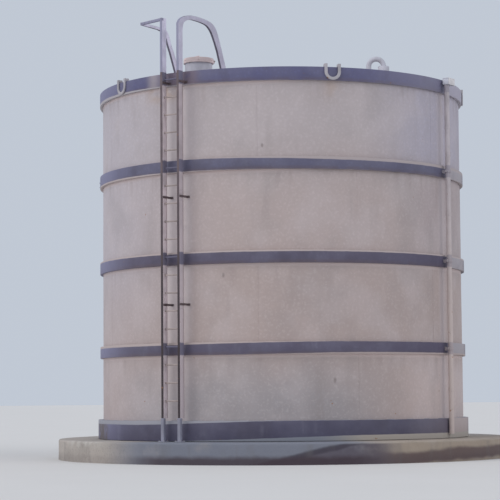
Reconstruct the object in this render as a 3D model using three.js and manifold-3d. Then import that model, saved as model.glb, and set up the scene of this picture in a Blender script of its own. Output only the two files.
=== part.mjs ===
// Vertical storage tank on a round plinth. Millimetres, +Z up.
// The origin is the centre of the plinth's underside. A point at azimuth a and radius r
// stands at (r sin a, -r cos a), so azimuth 0 faces -Y and azimuth 90 faces +X.
import * as THREE from "three";
import * as BufferGeometryUtils from "three/addons/utils/BufferGeometryUtils.js";
import Module from "manifold-3d";

const wasm = await Module();
wasm.setup();

// Driving dimensions
const touchGap = 0.3;
const facetCount = 72;

const plinthRadius = 4550;
const plinthHeight = 400;
const plinthChamfer = 25;

const tankRadius = 3640;
const wallThickness = 8;
const wallHeight = 6930;
const panelCount = 8;
const seamGap = 0.6;

const floorThickness = 8;
const floorOverhang = 45;

const baseBandHeight = 385;
const baseBandProud = 100;
const hoopHeight = 235;
const hoopProud = 60;
const bandPlate = 8;
const lowerHoopCentre = 1726;
const middleHoopCentre = 3422;
const upperHoopCentre = 5168;
const curbHeight = 253;
const curbCentre = 6842;

const roofThickness = 6;
const roofRise = 250;

const ladderAzimuth = -33;
const stringerSpacing = 378;
const stringerDepth = 140;
const stringerFlange = 50;
const stringerThickness = 8;
const stringerStandOff = 125;
const ladderFootRise = 440;
const rungPitch = 337;
const firstRungRise = 317;
const rungRadius = 14;
const rungSides = 10;
const footWidth = 66;

const bracketRises = { lower: 2560, middle: 4590, upper: 6765 };
const bracketBarHeight = 42;
const bracketBarThickness = 10;
const bracketFootWidth = 55;

// The handrails' bent parts. A point is [inwards from the stringer's outer face, above
// railHeight]; the first and the last point of an edge end its straight parts.
const railHeight = 1010;
const railBendSteps = 24;
const railLegDrop = 1040;
const rightRailOuterBend = [
  [0, -110], [60, -30], [190, 40], [400, 92], [640, 103],
  [900, 93], [1110, 62], [1240, -5], [1330, -130], [1441, -359],
];
const rightRailInnerBend = [
  [140, -240], [185, -80], [390, 10], [620, 20], [830, 10],
  [985, -20], [1110, -105], [1235, -280], [1336, -461],
];
const rightLegOuterFoot = 1732;
const rightLegInnerFoot = 1567;
const leftRailRise = 30;
const leftRailReach = 461;
const leftRailBarDepth = 50;
const leftRailTipDrop = 12;
const leftRailOuterBend = [
  [600, -14], [760, -25], [860, -110], [960, -300], [1085, -518],
];
const leftRailInnerBend = [
  [540, -66], [690, -95], [790, -180], [860, -320], [945, -477],
];
const leftLegOuterFoot = 1345;
const leftLegInnerFoot = 1213;

const hatchAzimuth = -48.8;
const hatchCentreRadius = 2180;
const hatchRadius = 270;
const hatchSides = 36;
const hatchNeckTop = 7905;
const hatchNeckDrop = 90;
const hatchWall = 8;
const hatchLidRadius = 300;
const hatchLidThickness = 10;
const hatchLidDome = 18;
const hatchSkirtDepth = 90;
const hatchSkirtPlay = 12;

const ventAzimuth = 45.3;
const ventCentreRadius = 2800;
const ventNeckRadius = 110;
const ventNeckWall = 6;
const ventNeckTop = 7640;
const ventNeckDrop = 60;
const ventNeckSides = 32;
const ventFlangeRadius = 95;
const ventFlangeThickness = 10;
const ventTubeRadius = 50;
const ventWall = 5;
const ventSides = 16;
const ventBendRadius = 145;
const ventBendSteps = 12;
const ventMouthLength = 70;
const ventScreenThickness = 12;
const weldOverlap = 1;

const lugCount = 5;
const firstLugAzimuth = 14.4;
const lugRadius = 130;
const lugBar = 58;
const lugThickness = 30;
const lugBottomRise = 4;
const lugTopRise = 60;
const lugHook = 70;
const lugArcSegments = 8;

const pipeAzimuth = 57.7;
const pipeRadius = 50;
const pipeWall = 5;
const pipeClearance = 10;
const pipeFootRise = 90;
const pipeSides = 24;
const hopperLeft = 54;
const hopperRight = 215;
const hopperDepth = 130;
const hopperStandOff = 40;
const hopperHeight = 130;
const hopperRise = 30;
const hopperPlate = 6;
const nozzleRadius = 40;
const nozzleWall = 6;
const nozzleOffset = 80;
const nozzleRise = 50;
const clipHeight = 50;
const clipBand = 8;
const clipStemWidth = 60;

// How far a piece is modelled into what it seats on before the seat is cut
const seatOverlap = 40;
// How far a cutter reaches past what it cuts
const cutterReach = 10;

// Heights that follow from the driving dimensions
const floorBase = plinthHeight + touchGap;
const wallBase = floorBase + floorThickness + touchGap;
const wallTop = wallBase + wallHeight;
const roofBase = wallTop + touchGap;
const curbTop = plinthHeight + curbCentre + curbHeight / 2;
const bandInnerRadius = tankRadius + touchGap;
const curbOuterRadius = bandInnerRadius + hoopProud;
const pipeCentreRadius = tankRadius + baseBandProud + pipeClearance + pipeRadius;

// Materials
function paint(color, roughness, metalness = 0) {
  return new THREE.MeshStandardMaterial({ color, roughness, metalness });
}

const materials = {
  concrete: paint(0xa69f99, 0.95),
  shell: paint(0xb8aaa9, 0.75),
  band: paint(0x5d5b79, 0.6),
  ladder: paint(0xbcb3bc, 0.55),
  foot: paint(0xa09eac, 0.5),
  bracket: paint(0x594842, 0.8),
  hatch: paint(0xcebdbc, 0.7),
  vent: paint(0xbcbcc5, 0.6),
  lug: paint(0xbcb5b3, 0.6),
  pipe: paint(0xbfb5b4, 0.65),
};

const tank = new THREE.Group();

function addPiece(parent, name, geometry, material) {
  const mesh = new THREE.Mesh(geometry, material);
  mesh.name = name;
  parent.add(mesh);
  return mesh;
}

// Booleans
function toSolid(geometry) {
  const bare = geometry.clone();
  bare.deleteAttribute("normal");
  bare.deleteAttribute("uv");
  const merged = BufferGeometryUtils.mergeVertices(bare, 1e-3);
  const vertProperties = new Float32Array(merged.attributes.position.array);
  const triVerts = new Uint32Array(merged.index.array);
  return new wasm.Manifold(new wasm.Mesh({ numProp: 3, vertProperties, triVerts }));
}

function toGeometry(solid) {
  const mesh = solid.getMesh();
  const geometry = new THREE.BufferGeometry();
  geometry.setAttribute("position", new THREE.BufferAttribute(mesh.vertProperties, 3));
  geometry.setIndex(new THREE.BufferAttribute(mesh.triVerts, 1));
  return geometry;
}

function joinAll(geometries) {
  return toGeometry(geometries.map(toSolid).reduce((whole, next) => whole.add(next)));
}

function cutAll(geometry, cutters) {
  const start = toSolid(geometry);
  return toGeometry(cutters.map(toSolid).reduce((whole, next) => whole.subtract(next), start));
}

// Round pieces
const radians = THREE.MathUtils.degToRad;

function polar(radius, azimuth) {
  return new THREE.Vector2(radius * Math.sin(azimuth), -radius * Math.cos(azimuth));
}

function arcPoints(radius, start, end, steps) {
  const points = [];
  for (let i = 0; i <= steps; i += 1) {
    points.push(polar(radius, start + ((end - start) * i) / steps));
  }
  return points;
}

function extrudeUp(shape, base, height, curveSegments = 12) {
  const geometry = new THREE.ExtrudeGeometry(shape, {
    depth: height,
    bevelEnabled: false,
    curveSegments,
  });
  geometry.translate(0, 0, base);
  return geometry;
}

function ringSector(innerRadius, outerRadius, start, end, steps, base, height) {
  const outer = arcPoints(outerRadius, start, end, steps);
  const inner = arcPoints(innerRadius, end, start, steps);
  return extrudeUp(new THREE.Shape([...outer, ...inner]), base, height);
}

function latheUp(profile, segments = facetCount) {
  const points = profile.map(([radius, height]) => new THREE.Vector2(radius, height));
  const geometry = new THREE.LatheGeometry(points, segments);
  geometry.rotateX(Math.PI / 2);
  return geometry;
}

function uprightCylinder(radius, base, height, sides = 32) {
  const geometry = new THREE.CylinderGeometry(radius, radius, height, sides);
  geometry.rotateX(Math.PI / 2);
  geometry.translate(0, 0, base + height / 2);
  return geometry;
}

// Round bar along y
function levelBar(radius, y0, y1) {
  const geometry = new THREE.CylinderGeometry(radius, radius, y1 - y0, pipeSides);
  geometry.translate(0, (y0 + y1) / 2, 0);
  return geometry;
}

function moveToPolar(geometry, radius, azimuthDegrees) {
  const place = polar(radius, radians(azimuthDegrees));
  geometry.translate(place.x, place.y, 0);
  return geometry;
}

// A group turned to an azimuth: local +X runs to the right along the wall, local +Y runs
// inwards, and the wall's outer face is at local y = -tankRadius.
function azimuthGroup(azimuthDegrees) {
  const group = new THREE.Group();
  group.rotation.z = radians(azimuthDegrees);
  tank.add(group);
  return group;
}

function box(x0, x1, y0, y1, z0, z1) {
  const geometry = new THREE.BoxGeometry(x1 - x0, y1 - y0, z1 - z0);
  geometry.translate((x0 + x1) / 2, (y0 + y1) / 2, (z0 + z1) / 2);
  return geometry;
}

// Height of the roof's upper face over a radius
function roofTopAt(radius) {
  return roofBase + roofThickness + roofRise * (1 - radius / tankRadius);
}

function addPlinth() {
  const profile = [
    [0, 0],
    [plinthRadius, 0],
    [plinthRadius, plinthHeight - plinthChamfer],
    [plinthRadius - plinthChamfer, plinthHeight],
    [0, plinthHeight],
  ];
  addPiece(tank, "plinth", latheUp(profile), materials.concrete);
}

function addFloor() {
  const radius = tankRadius + floorOverhang;
  const profile = [
    [0, floorBase],
    [radius, floorBase],
    [radius, floorBase + floorThickness],
    [0, floorBase + floorThickness],
  ];
  addPiece(tank, "tank_floor", latheUp(profile), materials.shell);
}

function addWall() {
  const panelAngle = (2 * Math.PI) / panelCount;
  const seamAngle = seamGap / tankRadius;
  const steps = facetCount / panelCount;
  for (let i = 0; i < panelCount; i += 1) {
    const start = i * panelAngle + seamAngle / 2;
    const end = (i + 1) * panelAngle - seamAngle / 2;
    const inner = tankRadius - wallThickness;
    const geometry = ringSector(inner, tankRadius, start, end, steps, wallBase, wallHeight);
    addPiece(tank, `wall_panel_${i + 1}`, geometry, materials.shell);
  }
}

// Channel rolled around the wall, its web outside and its flanges turned in to the wall
function addChannel(name, bottom, height, proud) {
  const inner = bandInnerRadius;
  const outer = inner + proud;
  const webInner = outer - bandPlate;
  const top = bottom + height;
  const profile = [
    [inner, bottom],
    [outer, bottom],
    [outer, top],
    [inner, top],
    [inner, top - bandPlate],
    [webInner, top - bandPlate],
    [webInner, bottom + bandPlate],
    [inner, bottom + bandPlate],
    [inner, bottom],
  ];
  addPiece(tank, name, latheUp(profile), materials.band);
}

function addBands() {
  const baseTop = plinthHeight + baseBandHeight;
  addChannel("base_band", wallBase, baseTop - wallBase, baseBandProud);
  const hoops = {
    lower_hoop: lowerHoopCentre,
    middle_hoop: middleHoopCentre,
    upper_hoop: upperHoopCentre,
  };
  for (const [name, centre] of Object.entries(hoops)) {
    addChannel(name, plinthHeight + centre - hoopHeight / 2, hoopHeight, hoopProud);
  }
  addChannel("top_curb", curbTop - curbHeight, curbHeight, hoopProud);
}

// Hole through the roof round a neck, faceted like the neck
function roofHole(radius, sides, centreRadius, azimuthDegrees) {
  const hole = uprightCylinder(radius + touchGap, roofBase - roofRise, 3 * roofRise, sides);
  return moveToPolar(hole, centreRadius, azimuthDegrees);
}

function addRoof() {
  const profile = [
    [0, roofBase + roofRise],
    [tankRadius, roofBase],
    [tankRadius, roofBase + roofThickness],
    [0, roofBase + roofRise + roofThickness],
  ];
  const holes = [
    roofHole(hatchRadius, hatchSides, hatchCentreRadius, hatchAzimuth),
    roofHole(ventNeckRadius, ventNeckSides, ventCentreRadius, ventAzimuth),
  ];
  addPiece(tank, "roof", cutAll(latheUp(profile), holes), materials.shell);
}

function tubeShape(radius, bore) {
  const shape = new THREE.Shape();
  shape.absarc(0, 0, radius, 0, 2 * Math.PI, false);
  const hole = new THREE.Path();
  hole.absarc(0, 0, bore, 0, 2 * Math.PI, true);
  shape.holes.push(hole);
  return shape;
}

function addHatch() {
  const neckBase = roofTopAt(hatchCentreRadius) - hatchNeckDrop;
  const neckShape = tubeShape(hatchRadius, hatchRadius - hatchWall);
  const neck = extrudeUp(neckShape, neckBase, hatchNeckTop - neckBase, hatchSides / 2);
  moveToPolar(neck, hatchCentreRadius, hatchAzimuth);
  addPiece(tank, "hatch_neck", neck, materials.vent);

  const skirtInner = hatchRadius + hatchSkirtPlay;
  const lidBase = hatchNeckTop + touchGap;
  const lidProfile = [
    [0, lidBase],
    [skirtInner, lidBase],
    [skirtInner, lidBase - hatchSkirtDepth],
    [hatchLidRadius, lidBase - hatchSkirtDepth],
    [hatchLidRadius, lidBase + hatchLidThickness],
    [0, lidBase + hatchLidThickness + hatchLidDome],
  ];
  const lid = latheUp(lidProfile, hatchSides);
  moveToPolar(lid, hatchCentreRadius, hatchAzimuth);
  addPiece(tank, "hatch_lid", lid, materials.hatch);
}

// Half circle in the upright plane along direction, from start up and over
class NeckCurve extends THREE.Curve {
  constructor(start, direction, radius) {
    super();
    this.start = start;
    this.direction = direction;
    this.radius = radius;
  }

  getPoint(t, target = new THREE.Vector3()) {
    const angle = Math.PI * t;
    const along = this.radius * (1 - Math.cos(angle));
    const up = this.radius * Math.sin(angle);
    return target.copy(this.start).addScaledVector(this.direction, along).setZ(this.start.z + up);
  }
}

// Neck through the roof with a plate on top, and a gooseneck that stands on the plate and
// turns over to the left
function addVent() {
  const bore = ventTubeRadius - ventWall;
  const neckBase = roofTopAt(ventCentreRadius) - ventNeckDrop;
  const neckInner = ventNeckRadius - ventNeckWall;
  const neck = latheUp([
    [neckInner, neckBase],
    [ventNeckRadius, neckBase],
    [ventNeckRadius, ventNeckTop],
    [bore, ventNeckTop],
    [bore, ventNeckTop - ventNeckWall],
    [neckInner, ventNeckTop - ventNeckWall],
    [neckInner, neckBase],
  ], ventNeckSides);
  moveToPolar(neck, ventCentreRadius, ventAzimuth);
  addPiece(tank, "vent_neck", neck, materials.vent);

  const flangeBase = ventNeckTop + touchGap;
  const bendStart = flangeBase + ventFlangeThickness - weldOverlap;
  const flange = extrudeUp(
    tubeShape(ventFlangeRadius, bore), flangeBase, ventFlangeThickness, ventNeckSides / 2);
  const left = new THREE.Vector3(-1, 0, 0);
  const bend = new THREE.ExtrudeGeometry(tubeShape(ventTubeRadius, bore), {
    extrudePath: new NeckCurve(new THREE.Vector3(0, 0, bendStart), left, ventBendRadius),
    steps: ventBendSteps,
    curveSegments: ventSides / 2,
    bevelEnabled: false,
  });
  const mouthBase = bendStart - ventMouthLength;
  const mouth = uprightCylinder(
    ventTubeRadius, mouthBase, ventMouthLength + weldOverlap, ventSides);
  const mouthBore = uprightCylinder(
    bore, mouthBase + ventScreenThickness, ventMouthLength + cutterReach, ventSides);
  const mouthTube = cutAll(mouth, [mouthBore]);
  mouthTube.translate(-2 * ventBendRadius, 0, 0);
  const vent = joinAll([flange, bend, mouthTube]);
  moveToPolar(vent, ventCentreRadius, ventAzimuth);
  addPiece(tank, "roof_vent", vent, materials.vent);
}

// Channel section: a web as deep as depth, and a flange along each of its edges
function channelShape(depth, flange, thickness) {
  return new THREE.Shape([
    new THREE.Vector2(0, 0),
    new THREE.Vector2(0, -depth),
    new THREE.Vector2(flange, -depth),
    new THREE.Vector2(flange, thickness - depth),
    new THREE.Vector2(thickness, thickness - depth),
    new THREE.Vector2(thickness, -thickness),
    new THREE.Vector2(flange, -thickness),
    new THREE.Vector2(flange, 0),
  ]);
}

function squareShape(size) {
  return new THREE.Shape([
    new THREE.Vector2(0, 0),
    new THREE.Vector2(0, -size),
    new THREE.Vector2(size, -size),
    new THREE.Vector2(size, 0),
  ]);
}

// Straight bar of a section from start to end. The section's y axis points outward, and its
// x axis square to that and to the bar. On the ladder and its handrails that is to the left.
function sectionBar(section, start, end, outward) {
  const along = new THREE.Vector3().subVectors(end, start);
  const length = along.length();
  along.normalize();
  const side = new THREE.Vector3().crossVectors(outward, along).normalize();
  const up = new THREE.Vector3().crossVectors(along, side).normalize();
  const bar = new THREE.ExtrudeGeometry(section, { depth: length, bevelEnabled: false });
  bar.applyMatrix4(new THREE.Matrix4().makeBasis(side, up, along));
  bar.translate(start.x, start.y, start.z);
  return bar;
}

const stringerOuterY = -(tankRadius + stringerStandOff + stringerDepth);
const stringerWebs = { left: -stringerSpacing / 2, right: stringerSpacing / 2 };
const ladderBase = plinthHeight + ladderFootRise;
const outwards = new THREE.Vector3(0, -1, 0);

// Three lengths of ladder, one above the other, that meet at the brackets
function addLadder() {
  const group = azimuthGroup(ladderAzimuth);
  const section = channelShape(stringerDepth, stringerFlange, stringerThickness);
  const lowerSplice = plinthHeight + bracketRises.lower;
  const upperSplice = plinthHeight + bracketRises.middle;
  const spans = {
    lower: [ladderBase, lowerSplice],
    middle: [lowerSplice + touchGap, upperSplice],
    upper: [upperSplice + touchGap, curbTop],
  };
  const rungY = stringerOuterY + stringerDepth / 2;
  let rungHeight = ladderBase + firstRungRise;
  for (const [name, [bottom, top]] of Object.entries(spans)) {
    const members = Object.values(stringerWebs).map((xWeb) => sectionBar(
      section,
      new THREE.Vector3(xWeb, stringerOuterY, bottom),
      new THREE.Vector3(xWeb, stringerOuterY, top),
      outwards,
    ));
    while (rungHeight < top - rungRadius) {
      const rung = new THREE.CylinderGeometry(
        rungRadius, rungRadius, stringerSpacing, rungSides);
      rung.rotateZ(Math.PI / 2);
      rung.translate(-stringerThickness / 2, rungY, rungHeight);
      members.push(rung);
      rungHeight += rungPitch;
    }
    addPiece(group, `ladder_${name}`, joinAll(members), materials.ladder);
  }

  for (const [side, xWeb] of Object.entries(stringerWebs)) {
    const xMiddle = xWeb - stringerFlange / 2;
    const foot = box(
      xMiddle - footWidth / 2, xMiddle + footWidth / 2,
      stringerOuterY - stringerThickness, stringerOuterY - stringerThickness + footWidth,
      plinthHeight + touchGap, ladderBase - touchGap,
    );
    addPiece(group, `ladder_foot_${side}`, foot, materials.foot);
  }
}

// Upright prism with the wall's facets, to cut the backs of pieces that seat on the wall
function seatCutter(radius, base, height, turnDegrees) {
  const outline = arcPoints(radius + touchGap, 0, 2 * Math.PI, facetCount).slice(0, -1);
  const cutter = extrudeUp(new THREE.Shape(outline), base - cutterReach, height + 2 * cutterReach);
  cutter.rotateZ(radians(-turnDegrees));
  return cutter;
}

// Flat bar on the stringer's web, running in to a foot plate on the wall or the curb
function addBrackets() {
  const group = azimuthGroup(ladderAzimuth);
  for (const [level, rise] of Object.entries(bracketRises)) {
    const centre = plinthHeight + rise;
    const bottom = centre - bracketBarHeight / 2;
    const top = centre + bracketBarHeight / 2;
    const seat = centre > curbTop - curbHeight ? curbOuterRadius : tankRadius;
    const cutter = seatCutter(seat, bottom, bracketBarHeight, ladderAzimuth);
    for (const [side, xWeb] of Object.entries(stringerWebs)) {
      const x0 = xWeb + touchGap;
      const yBar = stringerOuterY + stringerThickness;
      const plateDepth = seat * (1 - Math.cos(x0 / seat)) + 2 * bracketBarThickness;
      const yInner = -seat + plateDepth + seatOverlap;
      const bar = box(x0, x0 + bracketBarThickness, yBar, yInner, bottom, top);
      const plate = box(
        x0, x0 + bracketFootWidth, -seat - bracketBarThickness, yInner, bottom, top);
      const bracket = cutAll(joinAll([bar, plate]), [cutter]);
      addPiece(group, `ladder_bracket_${level}_${side}`, bracket, materials.bracket);
    }
  }
}

// Edge of a rail: a straight start, a smooth bend and a straight end
function railEdge(start, bend, end) {
  const points = bend.map(([inwards, up]) => new THREE.Vector3(inwards, up, 0));
  const curve = new THREE.CatmullRomCurve3(points, false, "centripetal");
  const bent = curve.getPoints(railBendSteps).map((point) => [point.x, point.y]);
  return [start, ...bent, end].map(([inwards, up]) => new THREE.Vector2(inwards, up));
}

function shiftToLeft(edge, distance) {
  return edge.map((point, i) => {
    const before = edge[Math.max(i - 1, 0)];
    const after = edge[Math.min(i + 1, edge.length - 1)];
    const along = after.clone().sub(before).normalize();
    return new THREE.Vector2(point.x - along.y * distance, point.y + along.x * distance);
  });
}

// Upright plate between two edges, from x towards the left
function railPlate(x, width, edge, otherEdge) {
  const outline = new THREE.Shape([...edge, ...[...otherEdge].reverse()]);
  const plate = new THREE.ExtrudeGeometry(outline, { depth: width, bevelEnabled: false });
  const inwards = new THREE.Vector3(0, 1, 0);
  const up = new THREE.Vector3(0, 0, 1);
  const right = new THREE.Vector3(1, 0, 0);
  plate.applyMatrix4(new THREE.Matrix4().makeBasis(inwards, up, right));
  plate.translate(x - width, stringerOuterY, curbTop + railHeight);
  return plate;
}

// Bent channel: its web between the two edges, and a flange to the left along each of them
function railChannel(xWeb, outerEdge, innerEdge) {
  const outerFlange = shiftToLeft(outerEdge, -stringerThickness);
  const innerFlange = shiftToLeft(innerEdge, stringerThickness);
  return [
    railPlate(xWeb, stringerThickness, outerEdge, innerEdge),
    railPlate(xWeb, stringerFlange, outerEdge, outerFlange),
    railPlate(xWeb, stringerFlange, innerEdge, innerFlange),
  ];
}

// Handrails that carry the stringers on above the roof's edge. Their rear legs lean on down
// past the roof's face, and the roof's outline cuts them off there. The right one arches
// straight in over the roof, the left one flares out to the left first.
function addHandrails() {
  const group = azimuthGroup(ladderAzimuth);
  const roofCutter = latheUp([
    [0, roofBase - 2 * roofRise],
    [tankRadius, roofBase - 2 * roofRise],
    [tankRadius, roofTopAt(tankRadius) + touchGap],
    [0, roofTopAt(0) + touchGap],
  ]);
  roofCutter.rotateZ(radians(-ladderAzimuth));

  const foot = touchGap - railHeight;
  const rightOuter = railEdge(
    [0, foot], rightRailOuterBend, [rightLegOuterFoot, -railLegDrop]);
  const rightInner = railEdge(
    [stringerDepth, foot], rightRailInnerBend, [rightLegInnerFoot, -railLegDrop]);
  const right = railChannel(stringerWebs.right, rightOuter, rightInner);
  addPiece(group, "handrail_right", cutAll(joinAll(right), [roofCutter]), materials.ladder);

  const xUpright = stringerWebs.left;
  const xLeg = xUpright - leftRailReach;
  const uprightTop = curbTop + railHeight + leftRailRise;
  const tipTop = curbTop + railHeight - leftRailTipDrop;
  const upright = sectionBar(
    channelShape(stringerDepth, stringerFlange, stringerThickness),
    new THREE.Vector3(xUpright, stringerOuterY, curbTop + touchGap),
    new THREE.Vector3(xUpright, stringerOuterY, uprightTop),
    outwards,
  );
  const flare = sectionBar(
    squareShape(leftRailBarDepth),
    new THREE.Vector3(xUpright, stringerOuterY + leftRailBarDepth, uprightTop),
    new THREE.Vector3(xLeg - stringerFlange, stringerOuterY + leftRailBarDepth, tipTop),
    new THREE.Vector3(0, 0, 1),
  );
  const leftOuter = railEdge(
    [0, -leftRailTipDrop], leftRailOuterBend, [leftLegOuterFoot, -railLegDrop]);
  const leftInner = railEdge(
    [0, -leftRailTipDrop - leftRailBarDepth], leftRailInnerBend,
    [leftLegInnerFoot, -railLegDrop]);
  const left = [upright, flare, ...railChannel(xLeg, leftOuter, leftInner)];
  addPiece(group, "handrail_left", cutAll(joinAll(left), [roofCutter]), materials.ladder);
}

// Lifting lugs: U-shaped eyes on the curb's face, hooked over its top edge
function addLugs() {
  const bottom = curbTop - curbHeight + lugBottomRise;
  const top = curbTop + lugTopRise;
  const centre = bottom + lugBar / 2 + lugRadius;
  const inner = lugRadius - lugBar / 2;
  const outer = lugRadius + lugBar / 2;
  for (let i = 0; i < lugCount; i += 1) {
    const azimuth = firstLugAzimuth + (360 / lugCount) * i;
    const outline = new THREE.Shape();
    outline.moveTo(outer, top);
    outline.lineTo(inner, top);
    outline.lineTo(inner, centre);
    outline.absarc(0, centre, inner, 0, -Math.PI, true);
    outline.lineTo(-inner, top);
    outline.lineTo(-outer, top);
    outline.lineTo(-outer, centre);
    outline.absarc(0, centre, outer, -Math.PI, 0, false);
    const eye = new THREE.ExtrudeGeometry(outline, {
      depth: lugThickness + seatOverlap,
      bevelEnabled: false,
      curveSegments: lugArcSegments,
    });
    eye.rotateX(Math.PI / 2);
    eye.translate(0, -curbOuterRadius + seatOverlap, 0);
    const hooks = [-outer, inner].map((x) => box(
      x, x + lugBar, -curbOuterRadius, -curbOuterRadius + lugHook, curbTop + touchGap, top));
    const cutterBase = curbTop - 2 * curbHeight;
    const cutter = seatCutter(curbOuterRadius, cutterBase,
      curbTop + touchGap - cutterReach - cutterBase, azimuth);
    const lug = cutAll(joinAll([eye, ...hooks]), [cutter]);
    addPiece(azimuthGroup(azimuth), `lifting_lug_${i + 1}`, lug, materials.lug);
  }
}

// Nozzle out of the curb, the open hopper it runs into, and the overflow pipe that hangs
// from the hopper down the wall
function addOverflow() {
  const group = azimuthGroup(pipeAzimuth);
  const hopperTop = curbTop + hopperRise;
  const hopperBase = hopperTop - hopperHeight;
  const yBack = -(curbOuterRadius + hopperStandOff);
  const yFront = yBack - hopperDepth;
  const plate = hopperPlate;
  const outside = box(-hopperLeft, hopperRight, yFront, yBack, hopperBase, hopperTop);
  const inside = box(
    plate - hopperLeft, hopperRight - plate, yFront + plate, yBack - plate,
    hopperBase + plate, hopperTop + cutterReach,
  );
  const pipeBore = pipeRadius - pipeWall;
  const outlet = uprightCylinder(
    pipeBore, hopperBase - cutterReach, 2 * cutterReach, pipeSides);
  outlet.translate(0, -pipeCentreRadius, 0);

  const nozzleBore = nozzleRadius - nozzleWall;
  const nozzleHeight = hopperBase + nozzleRise;
  const inlet = levelBar(nozzleBore, yBack - 2 * cutterReach, yBack + cutterReach);
  inlet.translate(nozzleOffset, 0, nozzleHeight);
  addPiece(group, "overflow_hopper", cutAll(outside, [inside, outlet, inlet]), materials.lug);

  const yNozzle = yBack + touchGap;
  const yNozzleInner = -curbOuterRadius + seatOverlap;
  const nozzleOutside = levelBar(nozzleRadius, yNozzle, yNozzleInner);
  const nozzleInside = levelBar(nozzleBore, yNozzle - cutterReach, yNozzleInner + cutterReach);
  nozzleOutside.translate(nozzleOffset, 0, nozzleHeight);
  nozzleInside.translate(nozzleOffset, 0, nozzleHeight);
  const seat = seatCutter(curbOuterRadius, hopperBase, hopperHeight, pipeAzimuth);
  const nozzle = cutAll(nozzleOutside, [nozzleInside, seat]);
  addPiece(group, "overflow_nozzle", nozzle, materials.band);

  const pipeBase = plinthHeight + pipeFootRise;
  const pipeLength = hopperBase - touchGap - pipeBase;
  const pipe = extrudeUp(
    tubeShape(pipeRadius, pipeBore), pipeBase, pipeLength, pipeSides / 2);
  pipe.translate(0, -pipeCentreRadius, 0);
  addPiece(group, "overflow_pipe", pipe, materials.pipe);
}

// Clips that hold the pipe off the hoops
function addClips() {
  const group = azimuthGroup(pipeAzimuth);
  const seat = curbOuterRadius;
  const rises = { lower: lowerHoopCentre, middle: middleHoopCentre, upper: upperHoopCentre };
  const inner = pipeRadius + touchGap;
  const half = clipStemWidth / 2;
  for (const [name, rise] of Object.entries(rises)) {
    const bottom = plinthHeight + rise - clipHeight / 2;
    const collar = uprightCylinder(inner + clipBand, bottom, clipHeight, pipeSides);
    collar.translate(0, -pipeCentreRadius, 0);
    const stem = box(
      -half, half, -pipeCentreRadius, -seat + seatOverlap, bottom, bottom + clipHeight);
    const bore = uprightCylinder(
      inner, bottom - cutterReach, clipHeight + 2 * cutterReach, pipeSides);
    bore.translate(0, -pipeCentreRadius, 0);
    const cutter = seatCutter(seat, bottom, clipHeight, pipeAzimuth);
    const clip = cutAll(joinAll([collar, stem]), [bore, cutter]);
    addPiece(group, `pipe_clip_${name}`, clip, materials.pipe);
  }
}

addPlinth();
addFloor();
addWall();
addBands();
addRoof();
addHatch();
addVent();
addLadder();
addBrackets();
addHandrails();
addLugs();
addOverflow();
addClips();

export default tank;
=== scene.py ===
# Vertical storage tank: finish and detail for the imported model. Metres, +Z up.
# A point at azimuth a and radius r stands at (r sin a, -r cos a), as in the part's source.
from math import cos, degrees, pi, radians, sin, sqrt

import bmesh
import bpy
from mathutils import Matrix, Vector, noise


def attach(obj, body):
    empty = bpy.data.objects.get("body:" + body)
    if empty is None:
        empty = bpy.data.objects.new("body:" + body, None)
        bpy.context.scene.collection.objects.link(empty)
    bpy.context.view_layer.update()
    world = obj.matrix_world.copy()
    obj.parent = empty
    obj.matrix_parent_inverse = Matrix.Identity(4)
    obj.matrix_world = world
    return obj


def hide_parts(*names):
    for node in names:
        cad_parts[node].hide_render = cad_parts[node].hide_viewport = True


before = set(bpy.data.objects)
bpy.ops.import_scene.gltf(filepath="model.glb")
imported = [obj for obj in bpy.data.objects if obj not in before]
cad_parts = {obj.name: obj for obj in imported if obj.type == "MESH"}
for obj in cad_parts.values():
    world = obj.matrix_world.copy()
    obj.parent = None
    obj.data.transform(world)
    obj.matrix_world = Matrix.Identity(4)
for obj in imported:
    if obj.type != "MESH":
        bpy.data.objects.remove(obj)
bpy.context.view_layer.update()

# Dimensions that repeat the part's own
TOUCH_GAP = 0.0003
PLINTH_RADIUS = 4.55
PLINTH_HEIGHT = 0.4
TANK_RADIUS = 3.64
WALL_THICKNESS = 0.008
WALL_BASE = 0.4086
WALL_TOP = 7.3386
WALL_WAVE = 0.003
RING_SEGMENTS = 240
BAND_INNER = TANK_RADIUS + TOUCH_GAP
HOOP_PROUD = 0.06
BASE_BAND_PROUD = 0.1
BAND_PLATE = 0.008
SPLICE_HALF = 0.15
SPLICE_BACK, SPLICE_FRONT = -0.006, 0.007
HOOP_HEIGHT = 0.235
HOOP_CENTRES = {"lower_hoop": 2.126, "middle_hoop": 3.822, "upper_hoop": 5.568}
BASE_BAND_TOP = 0.785
CURB_TOP = 7.3685
CURB_HEIGHT = 0.253
CURB_OUTER = BAND_INNER + HOOP_PROUD
ROOF_EDGE = 7.3449
ROOF_RISE = 0.25
ROOF_SECTORS = 16
PAD_SINK, PAD_THICKNESS = 0.006, 0.008
LADDER_AZIMUTH = -33
STRINGER_OUTER = -3.905
STRINGER_DEPTH = 0.14
STRINGER_FLANGE = 0.05
STRINGER_PLATE = 0.008
STRINGER_WEBS = {"left": -0.189, "right": 0.189}
LADDER_BASE = 0.84
LADDER_SPLICES = (2.96, 4.99)
WEB_BOLTS = (0.035, 0.105)
RUNG_PITCH = 0.337
FIRST_RUNG = 1.157
RUNG_RADIUS = 0.014
BRACKETS = {
    "lower": (LADDER_SPLICES[0], TANK_RADIUS),
    "middle": (LADDER_SPLICES[1], TANK_RADIUS),
    "upper": (7.165, CURB_OUTER),
}
BRACKET_HEIGHT = 0.042
BRACKET_THICKNESS = 0.01
BRACKET_PLATE_WIDTH = 0.055
RAIL_TOP = CURB_TOP + 1.01
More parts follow.
